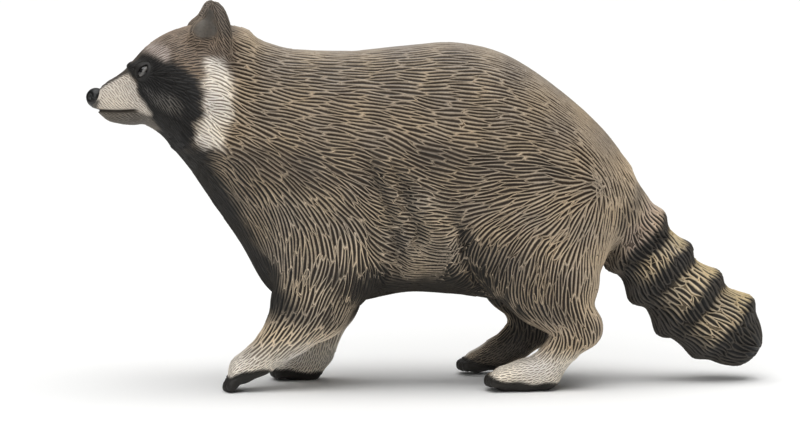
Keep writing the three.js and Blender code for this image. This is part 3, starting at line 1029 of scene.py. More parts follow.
STROKES = rows_of(
    Stroke, (-30.9, 37.4, 22), (-27.6, 38.5, 14), (-27.5, 35.1, -2), (-21.6, 38.3, -16),
    (-18.8, 36.7, -8), (-34.3, 32.3, -52), (-29.3, 32.1, -42), (-27.3, 29.7, -48),
    (-33.3, 29.7, -8), (-26.6, 26.3, -42), (-24.3, 33.0, -12), (-25.0, 28.9, -28),
    (-20.8, 30.8, -14), (-22.2, 26.5, -34), (-23.1, 20.9, -56), (-20.3, 15.9, -66),
    (-12.4, 35.0, -4), (-5.9, 34.5, -2), (1.8, 35.0, 2), (7.3, 34.4, -14), (13.0, 29.8, -35),
    (17.1, 26.2, -48), (22.1, 22.2, -60), (-14.9, 29.7, -14), (-6.2, 30.8, -10), (-0.8, 30.6, -14),
    (6.5, 30.0, 0), (10.2, 27.1, -4), (13.8, 25.3, -18), (-16.0, 25.4, -26), (-13.0, 22.5, -32),
    (-19.7, 22.7, -45), (-18.7, 19.5, -62), (-13.8, 19.7, -57), (-9.4, 19.7, -43),
    (-16.7, 16.0, -88), (-11.8, 16.0, -80), (-8.8, 15.4, -92), (-5.8, 15.9, -20),
    (-6.4, 13.2, -48), (-15.4, 12.4, -98), (-11.8, 12.4, -120), (-8.2, 12.3, -95),
    (-10.3, 27.0, -10), (-3.5, 26.6, -27), (2.1, 26.6, -15), (-0.7, 23.1, -24), (-3.5, 21.7, -3),
    (-2.1, 19.0, -3), (-2.1, 16.2, -10), (3.4, 21.1, 4), (6.3, 21.0, 17), (8.3, 23.7, -5),
    (6.3, 17.5, 40), (6.3, 14.8, 62), (3.4, 14.9, 75), (9.0, 13.4, 82), (10.5, 19.4, 24),
    (13.3, 17.2, 48), (16.4, 18.2, 66), (18.6, 18.1, 88), (13.4, 12.2, 84), (17.1, 11.0, -88),
    (-1.6, 11.2, 0), (15.0, 22.0, 10), (16.6, 21.3, 20), (17.5, 22.6, -25), (18.7, 21.1, -82),
    (17.7, 19.8, 74), (19.4, 23.0, -56),
)


class Lie:
    """Which way the sculpted fur runs at any place on the skin."""

    REACH = 3.2

    def __init__(self, form: Form) -> None:
        """Args:
            form: The form it covers.
        """
        self.form = form
        self.places = np.array([(s.x, s.z) for s in STROKES])
        turns = 2 * np.radians([s.degrees for s in STROKES])
        self.doubled = np.stack([np.cos(turns), np.sin(turns)], axis=1)

    def from_strokes(self, p: Array) -> Array:
        """The side-on direction, blended from the strokes as lines that have no sign.

        Args:
            p: Points.

        Returns:
            A unit direction for each, in the XZ plane.
        """
        gap = ((p[:, None, (0, 2)] - self.places[None]) ** 2).sum(axis=2)
        least = gap.min(axis=1, keepdims=True)
        weight = np.exp(-(gap - least) / (2 * self.REACH**2)) / (gap + 4.0)
        line = weight @ self.doubled
        # Small waves keep the rows from running dead straight.
        wave = 0.07 * np.sin(p[:, 0] * 1.3 + p[:, 2] * 0.9 + np.abs(p[:, 1]) * 0.5)
        wave += 0.05 * np.sin(p[:, 2] * 1.9 - p[:, 0] * 0.7 + 1.0)
        ruff = below(p[:, 0], -20.5, 1.5) * above(p[:, 0], -26.5, 1.0)
        wave += 0.18 * ruff * np.sin(p[:, 0] * 1.8 + p[:, 2] * 0.8)
        turn = 0.5 * np.arctan2(line[:, 1], line[:, 0]) + wave
        return np.stack([np.cos(turn), np.zeros(len(p)), np.sin(turn)], axis=1)

    @staticmethod
    def down_limb(limb: Limb, p: Array) -> tuple[Array, Array]:
        """The direction of a limb's nearest stretch.

        Args:
            limb: The limb.
            p: Points.

        Returns:
            A direction for each point, and how far each is from the limb's line.
        """
        best = np.full(len(p), 1e9)
        way = np.zeros_like(p)
        for a, b, r in zip(limb.middle[:-1], limb.middle[1:], limb.radius[:-1]):
            run = b - a
            far = length(onto(p, a, b)[1]) / r.mean()
            best = np.minimum(best, far)
            way += np.exp(-5.0 * np.minimum(far, 8.0))[:, None] * run / np.linalg.norm(run)
        return unit(way, 1e-30), best

    def at(self, p: Array, n: Array) -> Array:
        """The lie of the fur, along the surface.

        Args:
            p: Points.
            n: The surface's normals there.

        Returns:
            A unit direction for each.
        """
        form = self.form
        way = self.from_strokes(p)
        best = np.full(len(p), 1e9)
        limb_way = np.zeros_like(p)
        for side in Side:
            for limb in (form.forelegs[side], form.hindlegs[side]):
                along, far = self.down_limb(limb, p)
                closer = far < best
                best = np.where(closer, far, best)
                limb_way[closer] = along[closer]
        way = self.blend(way, limb_way, below(p[:, 2], 11.5, 3.5))
        tail_way, _ = self.down_limb(form.brush, p)
        s = form.down_tail(p)
        tail_way[:, 1] += 0.18 * np.sin(s * 1.35 + p[:, 1] * 0.6)
        tail_way[:, 0] += 0.32 * np.sin(s * 1.35 + p[:, 2] * 0.3)
        way = self.blend(way, tail_way, above(p[:, 0], 20.5, 2.5))
        for side in Side:
            ear_way = np.tile(np.array([0.55, side.value * 0.1, -0.83]), (len(p), 1))
            way = self.blend(way, ear_way, ease((0.7 - form.ear(p, side)) / 0.6))
        return unit(way - (way * n).sum(axis=1, keepdims=True) * n, 1e-6)

    @staticmethod
    def blend(a: Array, b: Array, share: Array) -> Array:
        """Two directions mixed as lines: the first turns about where it opposes the second."""
        sign = np.where((a * b).sum(axis=1, keepdims=True) < 0, -1.0, 1.0)
        return mix(a * sign, b, share[:, None])


# ---- paint


def linear(code: int) -> Array:
    """A hex sRGB colour, such as 0x80604A, as linear light."""
    shares = ((code >> shift & 255) / 255 for shift in (16, 8, 0))
    return np.array([c / 12.92 if c <= 0.04045 else ((c + 0.055) / 1.055) ** 2.4 for c in shares])


class Finish(Enum):
    """The paints, by what they cover: a sprayed undercoat, and the dry brush on the ridges; some
    stand for painted light or shade.
    """

    COAT = 0x2D2011, 0xD4C0A6
    # Painted light: a paler dry brush that brightens the flank.
    FLANK = 0x2D2114, 0xEFDBC0
    # Painted shade: a darker, duller dry brush on the faces of the back and rump that turn up.
    RUMP = 0x30271E, 0x8F8273
    # Painted shade: greyer, darker paint on the top of the back, where its faces turn up.
    TOP = 0x3A332C, 0xA79D91
    # Painted shade: near-black paint under the belly and chest, and on faces that turn down or
    # back.
    BELLY = 0x171411, 0x3A352E
    DARK = 0x121110, 0x34312D
    # Partly the hind legs' own darker paint, partly painted shade on their faces that turn inwards.
    INNER = 0x1C1815, 0x625A50
    MASK = 0x0B0A0A, 0x2A2826
    BROW = 0x75685F, 0xC9BBB0
    MUZZLE = 0x93887C, 0xDED5C9
    BRIDGE = 0x2E2A27, 0x5A524A
    JAW = 0x38332D, 0x7E776E
    RUFF = 0x82766A, 0xFFF6E8
    PAW = 0xA39685, 0xFFF6E8
    SOLE = 0x151413, 0x35322E
    EAR = 0x33302D, 0x6E6861
    BAND = 0x2E271E, 0xD4C2A4
    OCHRE = 0x2C2510, 0xB09A5C
    SLIT = 0x120D0B, 0x1C1512
    CHEEK = 0x100F0E, 0x66625D
    CROWN = 0x2A2018, 0x9C8A78
    FADED = 0x332A23, 0xC4B09C
    RING = 0x0D0C0B, 0x4E4943

    def __init__(self, under: int, brush: int) -> None:
        """Takes both colours as sRGB hex."""
        self.under, self.brush = linear(under), linear(brush)


@dataclass(frozen=True)
class Outline:
    """A patch drawn from the side as a closed outline, with a sprayed edge."""

    path: tuple[tuple[float, float], ...]
    soft: float = 0.8
    inner: float = 0.0
    wavy: bool = True

    def share(self, p: Array) -> Array:
        """Args:
            p: Points.

        Returns:
            How much of the patch's paint lies at each, from 0 to 1.
        """
        flat = p[:, (0, 2)]
        corners = np.array(self.path)
        far = np.full(len(p), 1e9)
        inside = np.zeros(len(p), dtype=bool)
        for a, b in zip(corners, np.roll(corners, -1, axis=0)):
            run = b - a
            far = np.minimum(far, length(onto(flat, a, b)[1]))
            spans = (a[1] > flat[:, 1]) != (b[1] > flat[:, 1])
            rise = run[1] if abs(run[1]) > 1e-9 else 1e-9
            inside ^= spans & (flat[:, 0] < a[0] + run[0] * (flat[:, 1] - a[1]) / rise)
        depth = np.where(inside, far, -far)
        share = ease(0.5 + depth / self.soft)
        return share * ease((np.abs(p[:, 1]) - self.inner) / 0.8 + 0.5) if self.inner else share


# The patches drawn from the side, in the order they go on.
OUTLINES = {
    Finish.RUFF: Outline((
        (-24.9, 36.2), (-25.3, 34.0), (-25.0, 32.2), (-25.4, 30.2), (-26.2, 27.6),
        (-25.0, 26.4), (-23.3, 26.8), (-22.4, 29.5), (-21.9, 32.0), (-22.2, 34.2),
        (-23.2, 36.4),
    ), 1.1),
    Finish.MASK: Outline((
        (-34.2, 35.6), (-32.0, 37.0), (-29.6, 37.0), (-27.5, 35.4), (-25.5, 34.0),
        (-25.2, 32.4), (-25.6, 30.4), (-26.3, 27.5), (-27.6, 25.5), (-30.2, 27.2),
        (-31.4, 29.6), (-31.9, 31.0), (-32.3, 32.4), (-32.5, 33.8), (-34.2, 34.6),
    ), 0.8),
    Finish.CHEEK: Outline((
        (-31.2, 32.7), (-29.8, 32.9), (-28.2, 32.1), (-27.2, 31.1), (-27.7, 30.4),
        (-29.0, 30.5), (-30.4, 31.3),
    ), 1.0),
    Finish.MUZZLE: Outline((
        (-37.5, 30.5), (-37.0, 33.5), (-34.6, 34.5), (-32.9, 34.4), (-32.4, 33.4),
        (-32.2, 32.2), (-31.4, 31.4), (-30.8, 30.2), (-32.0, 30.3), (-34.0, 30.5),
        (-36.0, 30.5),
    ), 0.6),
    Finish.JAW: Outline((
        (-37.5, 30.6), (-34.2, 30.6), (-32.3, 30.6), (-30.9, 30.0), (-29.8, 28.6),
        (-31.0, 27.0), (-37.5, 28.0),
    ), 0.45, wavy=False),
    Finish.BROW: Outline((
        (-32.0, 37.1), (-31.3, 37.8), (-30.2, 37.9), (-29.1, 37.4), (-28.7, 36.4),
        (-29.2, 36.0), (-30.0, 36.5), (-30.9, 36.8),
    ), 0.9, 0.7),
}


class Markings:
    """The two colours at any place, the same for the skin and the coat: the painter's, with painted
    light and shade on some parts.
    """

    # The slanted edge of the dark chest: a place on it and the way across it, seen from the side.
    CHEST_PLACE, CHEST_WAY = (-26.3, 24.9), (0.879, 0.478)
    # The way up and back from the tail's line.
    TAIL_UP = (0.69, 0.72)

    def __init__(self, form: Form) -> None:
        """Takes the form that is painted."""
        self.form = form

    def layers(self, p: Array, n: Array) -> list[tuple[Array, Finish]]:
        """The sprayed layers, some of them painted light or shade, in the order they go on.

        Args:
            p: Points.
            n: The normals there.

        Returns:
            A share and a finish for each layer.
        """
        x, y, z = p.T
        outward = np.sign(y) * n[:, 1]
        # The sprayed edges wander a little.
        wob = 0.35 * np.sin(x * 2.1 + z * 1.3) + 0.25 * np.sin(z * 3.3 - x * 1.7 + 0.6 * np.abs(y))
        q = p + np.stack([wob, np.zeros(len(p)), -wob], axis=1) * 0.5
        trunk = above(x, -22.0, 4.0) * below(x, 24.0, 4.0)
        # Painted light: where the flank takes its paler dry brush.
        flank = above(x, -20.0, 3.0) * below(x, 4.0, 4.0) * below(z, 25.0, 6.0)
        hind = above(x, 2.0, 2.0) * below(z, 11.0, 2.0)
        fore = below(x, -4.0, 2.0) * below(z, 8.5, 3.0)
        # Painted shade: faces that turn down and forwards, under the chest and belly, take the dark
        # belly paint.
        facing = -0.75 * n[:, 0] - 0.65 * n[:, 2]
        under = above(facing, 0.16, 0.25) * above(z, 6.0, 3.0) * below(x, 22.0, 3.0)
        off_x, off_z = q[:, 0] - self.CHEST_PLACE[0], q[:, 2] - self.CHEST_PLACE[1]
        behind = off_x * self.CHEST_WAY[0] + off_z * self.CHEST_WAY[1]
        chest = below(behind, 2.9, 1.8) * below(z, 28.0, 3.0) * above(z, 6.5, 3.5)
        # Painted shade: a dark band low on the belly, and faces behind the forelegs that turn back
        # and down.
        belly_shade = below(q[:, 2], 13.3, 1.7) * above(x, -10.0, 2.0) * below(x, 6.0, 2.5)
        rear_shade = ease((0.8 * n[:, 0] - 0.5 * n[:, 2] - 0.3) / 0.35) * (x > -12.5) * (x < -5.0)
        belly_shade = np.maximum(belly_shade, rear_shade * below(z, 15.0, 2.0)) * above(z, 5.0, 3.0)
        throat = ease((27.4 - z + 0.35 * (x + 27.0)) / 2.0) * below(x, -23.0, 2.5)
        ears, bowls = np.zeros(len(p)), np.zeros(len(p))
        for side in Side:
            e = self.form.in_ear(q, side)
            here = (side.value * y > 0) & (x < -18.0) & (x > -30.0)
            ears = np.maximum(ears, here * above(e[:, 2], -1.4, 1.2) * above(z, 38.0, 1.5))
            bowls = np.maximum(bowls, here * self.bowl(e))
        layers = [
            (flank, Finish.FLANK),
            # Painted shade: darker paint on the faces of the back and rump that turn up.
            (trunk * above(n[:, 2], 0.1, 0.6) * above(z, 21.0, 6.0) * 0.7, Finish.RUMP),
            # Painted shade: greyer, darker paint where the faces of the back turn up.
            (trunk * above(n[:, 2], 0.45, 0.5) * above(z, 30.0, 4.0), Finish.TOP),
            (np.maximum(under * below(z, 28.5, 3.0), belly_shade), Finish.BELLY),
            (below(x, -20.0, 3.0) * above(z, 32.0, 3.0), Finish.CROWN),
            (np.maximum(throat, chest), Finish.DARK),
            # Darker paint on the hind legs' inward faces: partly their own paint, partly painted
            # shade between the legs.
            (hind * below(outward, 0.1, 0.4), Finish.INNER),
            (hind * below(z, 5.0, 2.2) * above(np.abs(y), 7.0, 0.8), Finish.PAW),
            (fore * ease((6.6 - z + 0.12 * (x + 16.0)) / 3.2), Finish.PAW),
            *((patch.share(q if patch.wavy else p), finish) for finish, patch in OUTLINES.items()),
            (self.bridge(q), Finish.BRIDGE),
            (ears * 0.6, Finish.EAR),
            (bowls, Finish.EAR),
        ]
        layers += self.rings(p)
        layers.append((ease((sole_top(p) + 0.2 * wob - z) / 0.35 + 0.5) * (x < 18.0), Finish.SOLE))
        lips = below(x, -32.0, 0.8) * bell(z - mouth_line(x), 0.17)
        nose = length(p - np.array(self.form.size.nose))
        under_nose = below(nose, 1.75, 0.35) * below(z, 32.0, 0.5)
        layers += [(0.85 * under_nose, Finish.MASK), (lips, Finish.SLIT)]
        return layers

    @staticmethod
    def bridge(p: Array) -> Array:
        """Args:
            p: Points.

        Returns:
            The share of the dark stripe down the bridge of the nose.
        """
        width = 0.55 + 0.2 * (p[:, 0] + 36.5)
        ahead = below(p[:, 0], -31.4, 1.0) * above(p[:, 2], 32.2, 0.5)
        return ahead * ease((width - np.abs(p[:, 1])) / 0.5 + 0.5)

    def bowl(self, e: Array) -> Array:
        """Args:
            e: Points in the ear's own axes.

        Returns:
            The share of the smooth bowl in front of the ear.
        """
        w, _, h = self.form.size.ear_half
        reach = np.hypot(e[:, 0] / (w * 0.6), (e[:, 2] - 0.75) / (h * 0.62))
        return below(reach, 1.0, 0.4) * above(e[:, 1], -0.1, 0.3) * (e[:, 1] < 3.0)

    def rings(self, p: Array) -> list[tuple[Array, Finish]]:
        """The pale bands and dark rings down the tail, and painted shade where it leaves the rump.

        Args:
            p: Points.

        Returns:
            A share and a finish for each paint.
        """
        s = self.form.down_tail(p)
        x, y, z = p.T
        s = s + 0.25 * np.sin(y * 1.1 + z * 0.5) + 0.12 * np.sin(z * 2.7 + y * 3.1)
        on = above(x, 20.5, 1.5)
        root, run = self.form.tail_root, self.form.tail_run
        off = p - root - ((p - root) @ run)[:, None] * run
        rise = off[:, 0] * self.TAIL_UP[0] + off[:, 2] * self.TAIL_UP[1]
        upper = above(rise, -4.1, 3.0)
        out = [
            (on * above(s, 0.8, 1.0), Finish.RING),
            (0.7 * above(x, 19.0, 2.0) * below(rise, -1.0, 2.5), Finish.RING),
            # Painted shade: a soft dark ring in the crease where the tail leaves the rump.
            (0.5 * above(x, 19.5, 1.5) * bell(s + 2.2, 1.0), Finish.RING),
        ]
        for middle, half, finish in TAIL_BANDS:
            inside = ease((half - np.abs(s - middle)) / 0.7 + 0.5)
            out.append((on * inside * upper, finish))
            if finish is Finish.BAND:
                out.append((0.4 * on * inside * above(rise, 1.6, 1.8), Finish.OCHRE))
        return out

    @staticmethod
    def creamy(p: Array) -> Array:
        """Where the cream paint was brushed on heavily.

        Args:
            p: Points.

        Returns:
            Its share at each, from 0 to 1.
        """
        feet = below(p[:, 2], 4.4, 1.5) * (p[:, 0] < 18.0)
        ruff, muzzle = (OUTLINES[finish].share(p) for finish in (Finish.RUFF, Finish.MUZZLE))
        return np.maximum(ruff, np.maximum(0.6 * muzzle, feet))

    def colours(self, p: Array, n: Array) -> tuple[Array, Array]:
        """The two paints at each point.

        Args:
            p: Points.
            n: The normals there.

        Returns:
            The undercoat and the dry brush, as linear colours, n by 3.
        """
        base = Finish.COAT
        under, brush = (np.tile(tint, (len(p), 1)) for tint in (base.under, base.brush))
        for share, finish in self.layers(p, n):
            share = np.clip(share, 0.0, 1.0)[:, None]
            under, brush = mix(under, finish.under, share), mix(brush, finish.brush, share)
        patch = np.sin(p[:, 0] * 0.61 + p[:, 2] * 0.43) * np.sin(p[:, 2] * 0.77 - p[:, 0] * 0.35)
        # Painted shade: the undercoat darkens towards the bottom of the figure.
        low = below(p[:, 2], 27.0, 12.0)[:, None]
        # The fold valleys darken both paints: partly the wash settled in them, partly painted
        # shade.
        crease_wash_and_shade = sum(fold.stain * fold.depth_at(p) for fold in FOLDS)
        crease_wash_and_shade = np.clip(1.0 - 0.85 * crease_wash_and_shade, 0.35, 1.1)[:, None]
        warm = 1.0 + patch[:, None] * np.array((0.12, 0.1, 0.05))
        return under * (1.0 - 0.35 * low) * crease_wash_and_shade, brush * crease_wash_and_shade * warm


TAIL_BANDS = (
    (0.4, 1.15, Finish.FADED),
    (4.4, 0.95, Finish.BAND),
    (8.9, 1.3, Finish.BAND),
    (13.7, 1.5, Finish.BAND),
)


# ---- the coat

BARE_DEPTH = 0.06
COAT_SPARE = 0.02


SOLE_LINE = (
    (-23.5, 1.4), (-22.1, 1.95), (-20.8, 2.45), (-18.2, 2.5), (-16.8, 1.5),
    (-13.0, 1.0), (-10.0, 0.8), (4.5, 2.1), (6.5, 1.5), (8.2, 1.2), (10.5, 0.95), (13.0, 1.0),
)


def sole_top(p: Array) -> Array:
    """How high the dark pads of the paws reach at each point."""
    places, heights = zip(*SOLE_LINE)
    return np.interp(p[:, 0], places, heights)


def coated(p: Array) -> Array:
    """Where the sculpted fur lies, as against bare vinyl.

    Args:
        p: Points.

    Returns:
        1 under fur and 0 where the skin is bare.
    """
    size = HeadSizes()
    out = np.ones(len(p))
    for side in Side:
        gap = length((p - at(size.eye, side)) / np.array((1.0, 1.0, 1.1)))
        out *= above(gap, 1.02, 0.35)
        e = EARS.in_ear(p, side)
        w, _, h = size.ear_half
        reach = np.hypot(e[:, 0] / (w * 0.55), (e[:, 2] - 0.75) / (h * 0.58))
        bowl = below(reach, 1.0, 0.2) * ease(e[:, 1] / 0.2) * (e[:, 1] < 3.0)
        out *= 1.0 - bowl * (side.value * p[:, 1] > 0)
    nose = length(p - np.array(size.nose))
    out *= above(nose, 1.32, 0.25)
    out *= 1.0 - ease((sole_top(p) - 0.1 - p[:, 2]) / 0.4) * (p[:, 0] < 18.0)
    gap = 0.3 * below(p[:, 0], -31.7, 0.9)
    slit = (gap > 0) * ease((gap - np.abs(p[:, 2] - mouth_line(p[:, 0]))) / 0.12)
    return out * (1.0 - slit)


EARS = Form()


@dataclass(frozen=True)
class Grain:
    """The size of the sculptor's scoops: half length, half width and ridge height, in mm."""

    along: float
    across: float
    height: float


BODY_GRAIN = Grain(2.7, 0.33, 0.2)


def grain_at(p: Array) -> Array:
    """The scoops' sizes at each place.

    Args:
        p: Points.

    Returns:
        Half length, half width and height, n by 3.
    """
    x, z = p[:, 0], p[:, 2]
    spots = (
        (below(z, 11.0, 4.0), Grain(1.9, 0.31, 0.17)),
        (below(x, -22.0, 3.0), Grain(1.3, 0.26, 0.12)),
        (below(x, -27.0, 2.5) * below(z, 35.0, 2.0), Grain(1.0, 0.22, 0.08)),
        (below(x, -29.6, 2.0), Grain(0.8, 0.2, 0.05)),
        (below(z, 4.8, 1.5) * (x < 18.0), Grain(0.55, 0.19, 0.06)),
        (above(x, 21.5, 2.5), Grain(2.1, 0.42, 0.23)),
        (above(z, 38.6, 0.8) * (x < -19.0) * (x > -27.0), Grain(0.95, 0.2, 0.07)),
        (sum(ease((1.6 - EARS.ear(p, side)) / 0.7) for side in Side), Grain(0.95, 0.2, 0.07)),
        (ease(sum(np.abs(fold.depth_at(p)) for fold in FOLDS) / 0.12), Grain(1.3, 0.3, 0.17)),
    )
    out = np.tile(astuple(BODY_GRAIN), (len(p), 1))
    for share, grain in spots:
        out = mix(out, np.array(astuple(grain)), np.asarray(share, dtype=float)[:, None])
    return out


@dataclass(frozen=True)
class LockShape:
    """How finely a scoop is meshed: its stations, and the places and rise of its section."""

    stations: tuple[float, ...]
    across: tuple[float, ...]
    rise: tuple[float, ...]


LONG_LOCK = LockShape(
    (0.0, 0.0, 0.05, 0.14, 0.32, 0.5, 0.68, 0.86, 0.95, 1.0, 1.0),
    (0.0, 0.0, 0.2, 0.5, 0.8, 1.0, 1.0),
    (1.0, 1.0, 0.5, 0.0, 0.5, 1.0, 1.0),
)
SHORT_LOCK = LockShape(
    (0.0, 0.0, 0.1, 0.35, 0.65, 0.9, 1.0, 1.0),
    (0.0, 0.0, 0.5, 1.0, 1.0),
    (1.0, 1.0, 0.0, 1.0, 1.0),
)
BROAD_LOCK = LockShape(
    (0.0, 0.0, 0.04, 0.1, 0.2, 0.35, 0.5, 0.65, 0.8, 0.9, 0.96, 1.0, 1.0),
    (0.0, 0.0, 0.12, 0.28, 0.5, 0.72, 0.88, 1.0, 1.0),
    (1.0, 1.0, 0.8, 0.28, 0.0, 0.28, 0.8, 1.0, 1.0),
)


@dataclass
class Cells:
    """How far each scoop reaches, in its own frame, row by row along it."""

    us: Array
    low: Array
    high: Array
    start: Array
    end: Array
    bend: Array

    @staticmethod
    def trace(win: Array, us: Array, vs: Array) -> tuple[Array, Array, Array, Array]:
        """Finds where a scoop's own seed stops being the nearest one.

        Args:
            win: By how much the own seed is nearer, count by us by vs.
            us: The places along.
            vs: The places across.

        Returns:
            The low and high v in each row, and the first and last u.
        """
        best = win.max(axis=2)
        peak = win.argmax(axis=2)
        step = vs[1] - vs[0]
        edges = []
        for way in (-1, 1):
            here = peak.copy()
            going = best > 0
            reach = vs[peak].copy()
            for _ in range(len(vs)):
                following = here + way
                inside = going & (following >= 0) & (following < len(vs))
                safe = np.clip(following, 0, len(vs) - 1)
                a = np.take_along_axis(win, here[..., None], 2)[..., 0]
                b = np.take_along_axis(win, safe[..., None], 2)[..., 0]
                crossing = inside & (b <= 0)
                share = a / np.maximum(a - b, 1e-9)
                reach = np.where(crossing, vs[here] + way * step * share, reach)
                going = inside & (b > 0)
                reach = np.where(going, vs[safe], reach)
                here = np.where(going, safe, here)
            edges.append(reach)
        shown = best > 0
        first = shown.argmax(axis=1)
        last = len(us) - 1 - shown[:, ::-1].argmax(axis=1)
        rows = np.arange(len(win))
        ends = []
        for at_row, way in ((first, -1), (last, 1)):
            beyond = np.clip(at_row + way, 0, len(us) - 1)
            a, b = best[rows, at_row], best[rows, beyond]
            share = np.where(b < 0, a / np.maximum(a - b, 1e-9), 0.0)
            ends.append(us[at_row] + way * (us[1] - us[0]) * share)
            for box in edges:
                box[rows, beyond] = np.where(b < 0, vs[peak[rows, at_row]], box[rows, beyond])
        return edges[0], edges[1], ends[0], ends[1]

    def at(self, rows: Array, stations: Sequence[float]) -> tuple[Array, Array, Array]:
        """The cells' reach at stations along each.

        Args:
            rows: Which cells.
            stations: Shares of the length.

        Returns:
            u, the low v and the high v, rows by stations.
        """
        t = np.asarray(stations)[None]
        start, end = self.start[rows][:, None], self.end[rows][:, None]
        u = start + (end - start) * t
        f = np.clip((u - self.us[0]) / (self.us[1] - self.us[0]), 0, len(self.us) - 1.001)
        i = f.astype(int)
        f = f - i
        out = []
        for line in (self.low[rows], self.high[rows]):
            a = np.take_along_axis(line, i, 1)
            b = np.take_along_axis(line, i + 1, 1)
            out.append(a + (b - a) * f)
        low, high = out
        middle, half = (low + high) / 2, np.maximum(high - low, 0.05) / 2
        half = half * (0.35 + 0.65 * ease(np.minimum(t, 1 - t) / 0.07))
        return u, middle - half, middle + half


@dataclass
class Seeds:
    """Where the scoops lie: places, frames and sizes, one row for each."""

    place: Array
    normal: Array
    along: Array
    across: Array
    size: Array
    uv: Array

    def pick(self, keep: Array) -> "Seeds":
        """The same for some of the rows only."""
        return Seeds(*(getattr(self, part.name)[keep] for part in fields(self)))


